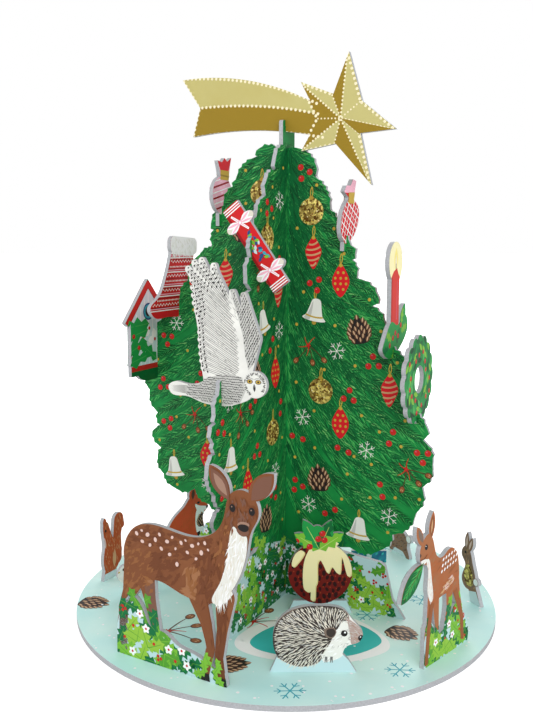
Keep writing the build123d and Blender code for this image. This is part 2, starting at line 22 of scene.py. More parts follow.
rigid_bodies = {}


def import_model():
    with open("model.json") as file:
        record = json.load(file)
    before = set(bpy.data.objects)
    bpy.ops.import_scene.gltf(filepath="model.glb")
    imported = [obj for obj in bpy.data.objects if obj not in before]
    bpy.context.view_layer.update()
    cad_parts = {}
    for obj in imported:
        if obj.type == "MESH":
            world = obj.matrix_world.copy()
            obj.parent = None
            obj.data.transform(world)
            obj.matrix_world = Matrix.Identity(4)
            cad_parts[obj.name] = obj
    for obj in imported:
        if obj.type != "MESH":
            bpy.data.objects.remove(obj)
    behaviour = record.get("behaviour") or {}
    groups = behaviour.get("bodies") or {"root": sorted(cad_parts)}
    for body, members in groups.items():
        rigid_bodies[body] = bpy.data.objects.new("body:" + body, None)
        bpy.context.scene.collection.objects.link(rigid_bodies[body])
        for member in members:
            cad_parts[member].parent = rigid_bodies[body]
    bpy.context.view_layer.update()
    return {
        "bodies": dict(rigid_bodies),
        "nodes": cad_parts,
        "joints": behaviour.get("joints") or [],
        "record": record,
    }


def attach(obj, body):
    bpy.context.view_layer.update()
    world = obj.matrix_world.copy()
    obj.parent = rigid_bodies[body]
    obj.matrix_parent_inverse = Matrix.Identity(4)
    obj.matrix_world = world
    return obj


log = logging.getLogger("calendar")

Point = tuple[float, float]
Shape = list[Point]
Faces = list[tuple[int, ...]]

# Metres in a millimetre, and the boards in millimetres
MM = 0.001
BOARD = 2.0
BASE_BOARD = 2.4
BASE_RADIUS = 102.0

# How an outline is read: facing of its faces, snap of their corners, grid, its margin and its edge
SQUARE = 0.9
SNAP = 0.004
CELL = 0.25
MARGIN = 1.0
EDGE_CELLS = 3

# How a shape is cut: gap of the samples along it, reach for edges near it, and weld of the corners
SAMPLE_GAP = 0.8
NEARBY = 0.5
WELD = 1e-4

# The lengths that a stroke is tried at, as shares, and the search for free places for an ornament
STROKE_SHARES = (1.0, 0.65, 0.4)
PLACE_TRIES = 700
PLACE_CHOICES = 16

# Lift of the lowest layer and of each further one, and the part of a layer that its shapes share out
FIRST_LIFT = 0.02
LIFT = 0.012
SPREAD = 0.9
SHADES = 28

# Finishes, and the sockets of a mix of colours
PRINT_GLOSS = 0.2
BOARD_ROUGHNESS = 0.52
# How far the painted shade at the trunk, in the corner of the crossed panels, reaches out, in millimetres
TRUNK_SHADE = 16.0
PRINCIPLED = "Principled BSDF"
MIX_FIRST = 6
MIX_SECOND = 7
MIX_RESULT = 2


class Side(Enum):
    """The two printed faces of a board."""

    FRONT = 1
    BACK = -1


class Ground(Enum):
    """How a board's ground shades: evenly, or with painted shade at the trunk that fades away along an axis.
    """

    EVEN = ""
    TRUNK_X = "X"
    TRUNK_Y = "Y"


class Layer:
    """The layers of ink on a tree panel, and in every bank, counted from the board."""

    SNOW = 1
    BOUGH_SHADE = 1
    SPRIG_BEHIND = 2
    NEEDLE = 3
    NEEDLE_LIGHT = 4
    NEEDLE_TIP = 5
    NEEDLE_DARK = 6
    NEEDLE_DEEP = 7
    SPRAY_LIGHT = 7
    SPRAY = 8
    PETAL = 10
    HEART = 11


# Colour and inks


def linear(value: float) -> float:
    """Turn one channel, 0 to 255 as written for print, into linear light.

    Args:
        value: The channel as written.

    Returns:
        The channel in linear light, 0 to 1.
    """
    share = value / 255
    return share / 12.92 if share <= 0.04045 else ((share + 0.055) / 1.055) ** 2.4


@dataclass(frozen=True)
class Ink:
    """A printing ink with a satin coat over it."""

    name: str
    red: int
    green: int
    blue: int
    roughness: float = 0.5
    glitter: bool = False

    def rgba(self) -> tuple[float, float, float, float]:
        """The colour in linear light."""
        return linear(self.red), linear(self.green), linear(self.blue), 1.0


class Inks:
    """The inks that the scene is printed in."""

    PINE_DEEP = Ink("pine_deep", 4, 66, 34)
    PINE_DARK = Ink("pine_dark", 10, 100, 50)
    PINE = Ink("pine", 32, 152, 72)
    PINE_LIGHT = Ink("pine_light", 74, 176, 88)
    PINE_TIP = Ink("pine_tip", 138, 208, 120)
    LIME = Ink("lime", 124, 188, 58)
    LIME_MID = Ink("lime_mid", 88, 158, 50)
    LIME_WARM = Ink("lime_warm", 148, 196, 66)
    LIME_PALE = Ink("lime_pale", 182, 214, 112)
    HOLLY_DARK = Ink("holly_dark", 16, 112, 62)
    BERRY = Ink("berry", 196, 40, 34)
    CHERRY = Ink("cherry", 212, 28, 38)
    CRIMSON = Ink("crimson", 150, 20, 26)
    SNOW = Ink("snow", 250, 251, 251)
    ICE = Ink("ice", 192, 222, 226)
    BONE = Ink("bone", 226, 221, 206)
    CREAM = Ink("cream", 244, 234, 196)
    FROST = Ink("frost", 206, 226, 230)
    DOWN = Ink("down", 234, 235, 228)
    PEARL = Ink("pearl", 198, 198, 193)
    ASH = Ink("ash", 168, 168, 164)
    SMOKE = Ink("smoke", 112, 112, 110)
    SOOT = Ink("soot", 34, 30, 30)
    PINK = Ink("pink", 246, 184, 204)
    ROSE = Ink("rose", 214, 96, 122)
    TEAL = Ink("teal", 62, 190, 186)
    TEAL_DARK = Ink("teal_dark", 54, 168, 184)
    NAVY = Ink("navy", 36, 78, 128)
    GOLD_LIGHT = Ink("gold_light", 196, 187, 122, 0.42)
    GOLD = Ink("gold", 178, 146, 58, 0.42)
    GOLD_DARK = Ink("gold_dark", 150, 123, 34, 0.42)
    GOLD_GLITTER = Ink("gold_glitter", 186, 140, 30, 0.35, True)
    BARK = Ink("bark", 86, 56, 38)
    CONE = Ink("cone", 92, 58, 42)
    CONE_TIP = Ink("cone_tip", 208, 172, 136)
    UMBER = Ink("umber", 104, 56, 30)
    CHESTNUT = Ink("chestnut", 124, 68, 36)
    RUSSET = Ink("russet", 150, 88, 48)
    COAT_DARK = Ink("coat_dark", 112, 64, 38)
    COAT_MID = Ink("coat_mid", 127, 76, 46)
    COAT_LIGHT = Ink("coat_light", 146, 94, 55)
    EAR = Ink("ear", 160, 126, 108)
    EAR_DARK = Ink("ear_dark", 122, 84, 68)
    FAWN = Ink("fawn", 160, 110, 74)
    SAND = Ink("sand", 206, 160, 116)
    BLUSH = Ink("blush", 226, 196, 186)
    MOUSE = Ink("mouse", 122, 104, 92)
    RUST = Ink("rust", 190, 86, 38)
    RUST_DARK = Ink("rust_dark", 156, 62, 28)
    FOX_COAT = Ink("fox_coat", 216, 84, 46)
    CANDLE = Ink("candle", 212, 54, 44)
    SNOUT = Ink("snout", 178, 158, 150)
    SPINE_DARK = Ink("spine_dark", 58, 50, 46)
    AMBER = Ink("amber", 196, 164, 62)
    FLAME = Ink("flame", 253, 245, 190)
    FLAME_EDGE = Ink("flame_edge", 250, 234, 140)
    PUDDING = Ink("pudding", 112, 22, 14)
    CURRANT = Ink("currant", 46, 8, 10)
    CUSTARD = Ink("custard", 248, 236, 182)
    CUSTARD_SHADE = Ink("custard_shade", 234, 216, 150)
    YOUNG_COAT = Ink("young_coat", 172, 98, 54)
    PINE_MID = Ink("pine_mid", 12, 120, 56)
    SNOW_BLUE = Ink("snow_blue", 190, 236, 234)
    SNOW_PALE = Ink("snow_pale", 216, 246, 240)
    GOLD_MID = Ink("gold_mid", 190, 178, 108)
    COAT_WARM = Ink("coat_warm", 136, 84, 52)
    RUST_WARM = Ink("rust_warm", 182, 80, 38)
    HARE = Ink("hare", 150, 112, 84)
    DOWN_WHITE = Ink("down_white", 240, 240, 234)
    DOWN_GREY = Ink("down_grey", 220, 220, 215)
    FLAKE_DARK = Ink("flake_dark", 88, 50, 4)
    FLAKE_LIGHT = Ink("flake_light", 255, 232, 128)
    PULP_DARK = Ink("pulp_dark", 152, 154, 158)
    PULP_LIGHT = Ink("pulp_light", 196, 198, 202)


# Shader node groups and materials


def new_group(name: str, inputs: Sequence[tuple], outputs: Sequence[tuple]) -> bpy.types.NodeTree:
    """Start a shader node group.

    Args:
        name: The group's name.
        inputs: Name, kind of socket and default of each input.
        outputs: Name and kind of socket of each output.

    Returns:
        The group, with its input and output nodes in it.
    """
    group = bpy.data.node_groups.new(name, "ShaderNodeTree")
    for label, kind, default in inputs:
        socket = group.interface.new_socket(name=label, in_out="INPUT", socket_type=f"NodeSocket{kind}")
        socket.default_value = default
    for label, kind in outputs:
        group.interface.new_socket(name=label, in_out="OUTPUT", socket_type=f"NodeSocket{kind}")
    group.nodes.new("NodeGroupInput").name = "In"
    group.nodes.new("NodeGroupOutput").name = "Out"
    return group


def new_material(name: str) -> bpy.types.Material:
    """A material that has only its Principled shader."""
    material = bpy.data.materials.new(name)
    material.use_nodes = True
    return material


def fill_tree(
    tree: bpy.types.NodeTree, nodes: Sequence[tuple], values: Sequence[tuple], links: Sequence[tuple]
) -> None:
    """Add nodes to a tree, set inputs of its nodes, and link them.

    Args:
        tree: The node tree.
        nodes: Name and kind of each new node, and its settings where it has any.
        values: Node, input and value of each input that is set.
        links: Node and output, then node and input, of each link.
    """
    for name, kind, *settings in nodes:
        node = tree.nodes.new(f"ShaderNode{kind}")
        node.name = name
        for key, value in dict(*settings).items():
            setattr(node, key, value)
    for name, socket, value in values:
        tree.nodes[name].inputs[socket].default_value = value
    for start, output, end, socket in links:
        tree.links.new(tree.nodes[start].outputs[output], tree.nodes[end].inputs[socket])


class ShaderGroups:
    """The effects that more than one finish uses, each built once."""

    def __init__(self) -> None:
        """Build every group."""
        self.grain = self._paper_grain()
        self.mottle = self._ink_mottle()
        self.cut = self._cut_board()
        self.sparkle = self._glitter_flakes()

    def _paper_grain(self) -> bpy.types.NodeTree:
        """Fine unevenness of coated paper.

        Returns:
            The group, which puts out a normal.
        """
        group = new_group("paper_grain", [("Strength", "Float", 0.12)], [("Normal", "Vector")])
        fill_tree(
            group,
            [("Place", "TexCoord"), ("Fibre", "TexNoise"), ("Bump", "Bump")],
            [("Fibre", "Scale", 2600.0), ("Fibre", "Detail", 3.0), ("Bump", "Distance", 0.00006)],
            [
                ("Place", "Object", "Fibre", "Vector"),
                ("Fibre", "Fac", "Bump", "Height"),
                ("In", "Strength", "Bump", "Strength"),
                ("Bump", "Normal", "Out", "Normal"),
            ],
        )
        return group

    def _ink_mottle(self) -> bpy.types.NodeTree:
        """Soft cloudy change between two colours, as in a painted ground.

        Returns:
            The group, which puts out a colour.
        """
        grey = (0.5, 0.5, 0.5, 1.0)
        inputs = [("First", "Color", grey), ("Second", "Color", grey), ("Scale", "Float", 120.0),
                  ("Amount", "Float", 1.0)]
        group = new_group("ink_mottle", inputs, [("Color", "Color")])
        fill_tree(
            group,
            [
                ("Place", "TexCoord"),
                ("Cloud", "TexNoise"),
                ("Spread", "MapRange"),
                ("Share", "Math", {"operation": "MULTIPLY"}),
                ("Blend", "Mix", {"data_type": "RGBA"}),
            ],
            [
                ("Cloud", "Detail", 4.0),
                ("Cloud", "Roughness", 0.55),
                ("Spread", "From Min", 0.34),
                ("Spread", "From Max", 0.66),
            ],
            [
                ("Place", "Object", "Cloud", "Vector"),
                ("In", "Scale", "Cloud", "Scale"),
                ("Cloud", "Fac", "Spread", "Value"),
                ("Spread", "Result", "Share", 0),
                ("In", "Amount", "Share", 1),
                ("Share", "Value", "Blend", "Factor"),
                ("In", "First", "Blend", MIX_FIRST),
                ("In", "Second", "Blend", MIX_SECOND),
                ("Blend", MIX_RESULT, "Out", "Color"),
            ],
        )
        return group

    def _cut_board(self) -> bpy.types.NodeTree:
        """The print on a board's faces, and bare grey pulp on its cut edges.

        Returns:
            The group, which puts out a colour and the mask of the edges.
        """
        inputs = [("Print", "Color", (0.5, 0.5, 0.5, 1.0)), ("Facing", "Vector", (0.0, 0.0, 1.0))]
        group = new_group("cut_board", inputs, [("Color", "Color"), ("Edge", "Float")])
        fill_tree(
            group,
            [
                ("Face", "NewGeometry"),
                ("Turned", "VectorMath", {"operation": "DOT_PRODUCT"}),
                ("Size", "Math", {"operation": "ABSOLUTE"}),
                ("Edge", "Math", {"operation": "LESS_THAN"}),
                ("Place", "TexCoord"),
                ("Pulp", "TexNoise"),
                ("Grey", "Mix", {"data_type": "RGBA"}),
                ("Choice", "Mix", {"data_type": "RGBA"}),
            ],
            [
                ("Edge", 1, 0.5),
                ("Pulp", "Scale", 1500.0),
                ("Pulp", "Detail", 5.0),
                ("Grey", MIX_FIRST, Inks.PULP_DARK.rgba()),
                ("Grey", MIX_SECOND, Inks.PULP_LIGHT.rgba()),
            ],
            [
                ("Face", "True Normal", "Turned", 0),
                ("In", "Facing", "Turned", 1),
                ("Turned", "Value", "Size", 0),
                ("Size", "Value", "Edge", 0),
                ("Place", "Object", "Pulp", "Vector"),
                ("Pulp", "Fac", "Grey", "Factor"),
                ("Edge", "Value", "Choice", "Factor"),
                ("In", "Print", "Choice", MIX_FIRST),
                ("Grey", MIX_RESULT, "Choice", MIX_SECOND),
                ("Choice", MIX_RESULT, "Out", "Color"),
                ("Edge", "Value", "Out", "Edge"),
            ],
        )
        return group

    def _glitter_flakes(self) -> bpy.types.NodeTree:
        """Small flakes that each have their own shade, partly their own tone and partly painted glints.

        Returns:
            The group, which puts out a colour.
        """
        inputs = [
            ("Dark", "Color", (0.2, 0.1, 0.0, 1.0)),
            ("Light", "Color", (1.0, 0.9, 0.6, 1.0)),
            ("Scale", "Float", 900.0),
        ]
        group = new_group("glitter_flakes", inputs, [("Color", "Color")])
        fill_tree(
            group,
            [
                ("Place", "TexCoord"),
                ("Flake", "TexVoronoi"),
                ("Chance", "SeparateColor"),
                ("Few", "Math", {"operation": "POWER"}),
                ("Shade", "Mix", {"data_type": "RGBA"}),
            ],
            [("Few", 1, 1.8)],
            [
                ("Place", "Object", "Flake", "Vector"),
                ("In", "Scale", "Flake", "Scale"),
                ("Flake", "Color", "Chance", "Color"),
                ("Chance", "Red", "Few", 0),
                ("Few", "Value", "Shade", "Factor"),
                ("In", "Dark", "Shade", MIX_FIRST),
                ("In", "Light", "Shade", MIX_SECOND),
                ("Shade", MIX_RESULT, "Out", "Color"),
            ],
        )
        return group


@dataclass(frozen=True)
class BoardFinish:
    """Greyboard with a coated print: a ground that shades between two inks, and bare cut edges."""

    name: str
    first: Ink
    second: Ink
    scale: float
    amount: float
    ground: Ground = Ground.EVEN

    def material(self, groups: ShaderGroups, facing: Vector) -> bpy.types.Material:
        """Make the finish for a board.

        Args:
            groups: The shared shader groups.
            facing: The way the board's printed face points.

        Returns:
            The material.
        """
        material = new_material(f"board_{self.name}")
        fill_tree(
            material.node_tree,
            [
                ("Grain", "Group", {"node_tree": groups.grain}),
                ("Cut", "Group", {"node_tree": groups.cut}),
                ("Mottle", "Group", {"node_tree": groups.mottle}),
            ],
            [
                (PRINCIPLED, "Roughness", BOARD_ROUGHNESS),
                (PRINCIPLED, "Specular IOR Level", PRINT_GLOSS),
                ("Cut", "Facing", facing),
                ("Mottle", "First", self.first.rgba()),
                ("Mottle", "Second", self.second.rgba()),
                ("Mottle", "Scale", self.scale),
                ("Mottle", "Amount", self.amount),
            ],
            [
                ("Cut", "Color", PRINCIPLED, "Base Color"),
                ("Grain", "Normal", PRINCIPLED, "Normal"),
                ("Mottle", "Color", "Cut", "Print"),
            ],
        )
        if self.ground is not Ground.EVEN:
            self._shade_trunk(material.node_tree)
        return material

    def _shade_trunk(self, tree: bpy.types.NodeTree) -> None:
        """Paint shade at the trunk: the first, darker ink alone there, the second coming in away from it.

        Args:
            tree: The material's node tree.
        """
        # The trunk is where the crossed panels meet, and this darker ground stands in for the shade in that
        # corner.
        fill_tree(
            tree,
            [
                ("Place", "TexCoord"),
                ("Split", "SeparateXYZ"),
                ("Reach", "Math", {"operation": "ABSOLUTE"}),
                ("Fade", "MapRange"),
                ("Depth", "Mix", {"data_type": "RGBA"}),
            ],
            [("Fade", "From Max", TRUNK_SHADE * MM), ("Depth", MIX_FIRST, self.first.rgba())],
            [
                ("Place", "Object", "Split", "Vector"),
                ("Split", self.ground.value, "Reach", 0),
                ("Reach", "Value", "Fade", "Value"),
                ("Fade", "Result", "Depth", "Factor"),
                ("Mottle", "Color", "Depth", MIX_SECOND),
                ("Depth", MIX_RESULT, "Cut", "Print"),
            ],
        )


class InkShelf:
    """Keeps one material for each ink."""

    def __init__(self, groups: ShaderGroups) -> None:
        """Start with no ink mixed."""
        self.groups = groups
        self.mixed: dict[str, bpy.types.Material] = {}

    def material(self, ink: Ink) -> bpy.types.Material:
        """The material of an ink, made when it is first asked for.

        Args:
            ink: The ink.

        Returns:
            Its material.
        """
        if ink.name in self.mixed:
            return self.mixed[ink.name]
        material = new_material(f"ink_{ink.name}")
        fill_tree(
            material.node_tree,
            [("Grain", "Group", {"node_tree": self.groups.grain})],
            [
                (PRINCIPLED, "Base Color", ink.rgba()),
                (PRINCIPLED, "Roughness", ink.roughness),
                (PRINCIPLED, "Specular IOR Level", PRINT_GLOSS),
            ],
            [("Grain", "Normal", PRINCIPLED, "Normal")],
        )
        if ink.glitter:
            fill_tree(
                material.node_tree,
                [("Flakes", "Group", {"node_tree": self.groups.sparkle})],
                [
                    ("Flakes", "Dark", Inks.FLAKE_DARK.rgba()),
                    ("Flakes", "Light", Inks.FLAKE_LIGHT.rgba()),
                    (PRINCIPLED, "Metallic", 0.25),
                ],
                [("Flakes", "Color", PRINCIPLED, "Base Color")],
            )
        self.mixed[ink.name] = material
        return material


# Flat shapes, in millimetres on the board


def turned(point: Point, degrees: float) -> Point:
    """Turn a point about the origin."""
    angle = math.radians(degrees)
    return (
        point[0] * math.cos(angle) - point[1] * math.sin(angle),
        point[0] * math.sin(angle) + point[1] * math.cos(angle),
    )


def moved(shape: Iterable[Point], by: Point, degrees: float = 0.0, grow: float = 1.0) -> Shape:
    """Grow, turn and then shift a shape."""
    result = []
    for point in shape:
        u, v = turned((point[0] * grow, point[1] * grow), degrees)
        result.append((u + by[0], v + by[1]))
    return result


def away(centre: Point, reach: float, degrees: float) -> Point:
    """The point at a distance from another, in a direction."""
    return moved([(reach, 0)], centre, degrees)[0]


def heading(start: Point, end: Point) -> float:
    """The direction from one point to another, in degrees."""
    return math.degrees(math.atan2(end[1] - start[1], end[0] - start[0]))


def between(start: Point, end: Point, share: float) -> Point:
    """The point that is a share of the way from one to another."""
    return start[0] + (end[0] - start[0]) * share, start[1] + (end[1] - start[1]) * share


def mirrored(half: Shape) -> Shape:
    """A closed shape from its right half, whose first and last points lie on the middle."""
    return half + [(-u, v) for u, v in half[-2:0:-1]]


def oval(centre: Point, radii: Point, degrees: float = 0.0, sides: int = 18) -> Shape:
    """An ellipse."""
    steps = [2 * math.pi * index / sides for index in range(sides)]
    return moved([(radii[0] * math.cos(t), radii[1] * math.sin(t)) for t in steps], centre, degrees)


def dot(centre: Point, radius: float, sides: int = 10) -> Shape:
    """A round spot."""
    return oval(centre, (radius, radius), 0.0, sides)


def smooth(points: Sequence[Point], steps: int = 5) -> Shape:
    """A rounded closed shape through the points."""
    result = []
    count = len(points)
    for index in range(count):
        p0, p1, p2, p3 = (points[(index + offset) % count] for offset in (-1, 0, 1, 2))
        for step in range(steps):
            t = step / steps
            result.append(
                tuple(
                    0.5
                    * (
                        2 * p1[axis]
                        + (p2[axis] - p0[axis]) * t
                        + (2 * p0[axis] - 5 * p1[axis] + 4 * p2[axis] - p3[axis]) * t * t
                        + (3 * p1[axis] - p0[axis] - 3 * p2[axis] + p3[axis]) * t * t * t
                    )
                    for axis in (0, 1)
                )
            )
    return result


def curve(start: Point, middle: Point, end: Point, steps: int = 8) -> Shape:
    """Points along a curve that leaves start towards middle and comes into end from it."""
    result = []
    for step in range(steps + 1):
        t = step / steps
        result.append(
            tuple(
                (1 - t) ** 2 * start[axis] + 2 * t * (1 - t) * middle[axis] + t * t * end[axis]
                for axis in (0, 1)
            )
        )
    return result


def ribbon(path: Sequence[Point], width: float, tip: float = 1.0) -> Shape:
    """A band along a path.

    Args:
        path: The points it follows.
        width: How wide it is where it starts.
        tip: Its width at the end, as a share of that.

    Returns:
        The outline of the band.
    """
    left, right = [], []
    last = len(path) - 1
    for index, point in enumerate(path):
        before, after = path[max(index - 1, 0)], path[min(index + 1, last)]
        du, dv = after[0] - before[0], after[1] - before[1]
        length = math.hypot(du, dv) or 1.0
        half = width / 2 * (1 + (tip - 1) * index / last)
        left.append((point[0] - dv / length * half, point[1] + du / length * half))
        right.append((point[0] + dv / length * half, point[1] - du / length * half))
    return left + right[::-1]


def blade(root: Point, degrees: float, length: float, width: float, sweep: float = 0.0) -> Shape:
    """A thin pointed stroke, widest near its root, with its tip swept to the left."""
    kite = [(0, 0), (length * 0.35, -width / 2), (length, length * sweep), (length * 0.35, width / 2)]
    return moved(kite, root, degrees)


def leaf(root: Point, tip: Point, width: float, steps: int = 5) -> Shape:
    """A pointed oval from root to tip."""
    length = math.dist(root, tip)
    angle = heading(root, tip)
    lower = [
        (length * index / steps, -width / 2 * math.sin(math.pi * index / steps)) for index in range(steps + 1)
    ]
    upper = [(u, -v) for u, v in lower[-2:0:-1]]
    return moved(lower + upper, root, angle)


def holly_leaf(root: Point, tip: Point, width: float) -> Shape:
    """A leaf with spines and hollow sides."""
    length = math.dist(root, tip)
    angle = heading(root, tip)
    edge = [(0.0, 0.0), (0.14, 0.7), (0.3, 0.36), (0.46, 1.0), (0.6, 0.4), (0.78, 0.8), (0.84, 0.26)]
    lower = [(u * length, -v * width / 2) for u, v in edge]
    upper = [(u, -v) for u, v in lower[:0:-1]]
    return moved([*lower, (length, 0.0), *upper], root, angle)


def star_points(middle: Point, waist: float, tips: Sequence[Point]) -> Shape:
    """Tips given by reach and angle, with a waist between each two, in turn."""
    corners = []
    for (reach, angle), (_, following) in zip(tips, [*tips[1:], (0.0, tips[0][1] + 360)]):
        corners.append(away(middle, reach, angle))
        corners.append(away(middle, waist, (angle + following) / 2))
    return corners


def holds_point(shape: Sequence[Point], point: Point) -> bool:
    """Whether a closed shape goes round a point."""
    within = False
    for (u1, v1), (u2, v2) in zip(shape, [*shape[1:], shape[0]]):
        if (v1 > point[1]) != (v2 > point[1]):
            if point[0] < u1 + (u2 - u1) * (point[1] - v1) / (v2 - v1):
                within = not within
    return within


# The board that a print lies on


@dataclass(frozen=True)
class Seat:
    """Where a board stands: its own plane, with u along it and v up from its seat."""

    u: float
    v: float
    height: float
    heading: float = 0.0
    flat: bool = False

    def axes(self) -> tuple[np.ndarray, np.ndarray, np.ndarray]:
        """The board's u axis, v axis and the way its front face points."""
        turn = math.radians(self.heading)
        along = np.array([math.cos(turn), math.sin(turn), 0.0])
        if self.flat:
            return along, np.array([-math.sin(turn), math.cos(turn), 0.0]), np.array([0.0, 0.0, 1.0])
        return along, np.array([0.0, 0.0, 1.0]), np.array([math.sin(turn), -math.cos(turn), 0.0])

    def lay(self, points: np.ndarray, depth: float) -> np.ndarray:
        """Points of the board in metres in the scene, at a depth towards its front face."""
        along, up, out = self.axes()
        start = np.array([self.u, self.v, self.height]) + out * depth
        return (start + np.outer(points[:, 0], along) + np.outer(points[:, 1], up)) * MM

    def flatten(self, places: np.ndarray) -> np.ndarray:
        """Places in the scene, in metres, as u, v and depth on the board."""
        rest = places / MM - np.array([self.u, self.v, self.height])
        return np.stack([rest @ axis for axis in self.axes()], axis=1)


def rim_seat(bearing: float, share: float, heading: float) -> Seat:
    """A seat on the base, at a bearing about the trunk and a share of the way to the rim."""
    reach = BASE_RADIUS * share
    turn = math.radians(bearing)
    return Seat(reach * math.cos(turn), reach * math.sin(turn), BASE_BOARD, heading)


class Outline:
    """The outline of a board's printed face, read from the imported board."""

    def __init__(self, node: bpy.types.Object, seat: Seat) -> None:
        """Find the outline.

        Args:
            node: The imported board.
            seat: Where it stands.
        """
        mesh = node.data
        places = np.empty(len(mesh.vertices) * 3)
        mesh.vertices.foreach_get("co", places)
        flat = seat.flatten(places.reshape(-1, 3))
        out = Vector(seat.axes()[2])
        keys = [tuple(key) for key in np.round(flat[:, :2] / SNAP).astype(int)]
        edges: Counter = Counter()
        for polygon in mesh.polygons:
            if polygon.normal.dot(out) > SQUARE:
                ring = [keys[index] for index in polygon.vertices]
                for start, end in zip(ring, ring[1:] + ring[:1]):
                    edges[(start, end)] += 1
        rim = [edge for edge in edges if edge[0] != edge[1] and (edge[1], edge[0]) not in edges]
        self.segments = np.array(rim, float) * SNAP
        self.low = self.segments.min(axis=(0, 1)) - MARGIN
        self.high = self.segments.max(axis=(0, 1)) + MARGIN
        self.mask = self._fill()
        self.inner = self._shrink(self.mask, EDGE_CELLS)
        self.stack = np.zeros(self.mask.shape, int)

    def _fill(self) -> np.ndarray:
        """Which cells of a fine grid the outline holds."""
        columns, rows = np.ceil((self.high - self.low) / CELL).astype(int)
        mask = np.zeros((rows, columns), bool)
        u1, v1 = self.segments[:, 0, 0], self.segments[:, 0, 1]
        u2, v2 = self.segments[:, 1, 0], self.segments[:, 1, 1]
        for row in range(rows):
            level = self.low[1] + (row + 0.5) * CELL
            met = (v1 <= level) != (v2 <= level)
            crossings = np.sort(u1[met] + (u2[met] - u1[met]) * (level - v1[met]) / (v2[met] - v1[met]))
            cells = np.round((crossings - self.low[0]) / CELL - 0.5).astype(int)
            for start, end in zip(cells[::2], cells[1::2]):
                mask[row, max(start + 1, 0) : end + 1] = True
        return mask

    @staticmethod
    def _shrink(mask: np.ndarray, cells: int) -> np.ndarray:
        """Take so many cells off the mask's edge."""
        result = mask.copy()
        for _ in range(cells):
            small = result.copy()
            small[1:] &= result[:-1]
            small[:-1] &= result[1:]
            small[:, 1:] &= result[:, :-1]
            small[:, :-1] &= result[:, 1:]
            result = small
        return result

    def cells(self, points: Sequence[Point]) -> tuple[np.ndarray, np.ndarray]:
        """The rows and columns of the grid that points lie in."""
        place = np.floor((np.asarray(points, float) - self.low) / CELL).astype(int)
        rows = np.clip(place[:, 1], 0, self.mask.shape[0] - 1)
        return rows, np.clip(place[:, 0], 0, self.mask.shape[1] - 1)

    def holds(self, points: Sequence[Point], inner: bool = False) -> bool:
        """Whether every point is on the board, or well inside its edge."""
        rows, columns = self.cells(points)
        return bool((self.inner if inner else self.mask)[rows, columns].all())

    def surrounds(self, points: Sequence[Point]) -> bool:
        """Whether the outline itself, and not only its grid, goes round every point."""
        if self.holds(points, inner=True):
            return True
        if not self.holds(points):
            return False
        u1, v1, u2, v2 = self.segments.reshape(-1, 4).T
        for u, v in points:
            met = (v1 > v) != (v2 > v)
            crossings = u1[met] + (u2[met] - u1[met]) * (v - v1[met]) / (v2[met] - v1[met])
            if (crossings > u).sum() % 2 == 0:
                return False
        return True

    def reach(self, level: float, side: int) -> float:
        """How far the board goes from the trunk at a height, to side 1 or -1."""
        row = int(np.clip((level - self.low[1]) / CELL, 0, self.mask.shape[0] - 1))
        filled = np.nonzero(self.mask[row])[0] * CELL + self.low[0]
        filled = filled[filled * side > 0]
        return float(np.abs(filled).max()) if len(filled) else 0.0

    def top(self) -> int:
        """The highest layer of ink so far."""
        return int(self.stack.max())

    def level_for(self, shape: Shape, level: Optional[int]) -> int:
        """The layer of ink that a shape lies in, over all that it covers.

        Args:
            shape: The shape.
            level: A layer that is asked for, or None.

        Returns:
            The layer.
        """
        points = np.asarray(shape, float)
        rows, columns = self.cells([points.min(axis=0), points.max(axis=0)])
        patch = self.stack[rows[0] : rows[1] + 1, columns[0] : columns[1] + 1]
        if level is None:
            level = int(patch.max()) + 1
        np.maximum(patch, level, out=patch)
        return level

    def clip(self, shape: Shape) -> tuple[Shape, Faces]:
        """Cut a shape to the outline.

        Args:
            shape: The shape.

        Returns:
            The points and the faces of what is left.
        """
        points = np.asarray(shape, float)
        low, high = points.min(axis=0) - NEARBY, points.max(axis=0) + NEARBY
        near = (self.segments.min(axis=1) <= high).all(axis=1)
        near &= (self.segments.max(axis=1) >= low).all(axis=1)
        corners = [Vector(point) for point in shape]
        edges = [(index, (index + 1) % len(shape)) for index in range(len(shape))]
        for start, end in self.segments[near]:
            edges.append((len(corners), len(corners) + 1))
            corners += [Vector(start), Vector(end)]
        found, _, faces, _, _, _ = delaunay_2d_cdt(corners, edges, [], 0, WELD)
        kept = []
        for face in faces:
            middle = tuple(sum(found[index][axis] for index in face) / len(face) for axis in (0, 1))
            if self.surrounds([middle]) and holds_point(shape, middle):
                kept.append(tuple(face))
        used = sorted({index for face in kept for index in face})
        place = {index: number for number, index in enumerate(used)}
        kept = [tuple(place[index] for index in face) for face in kept]
        return [tuple(found[index]) for index in used], kept


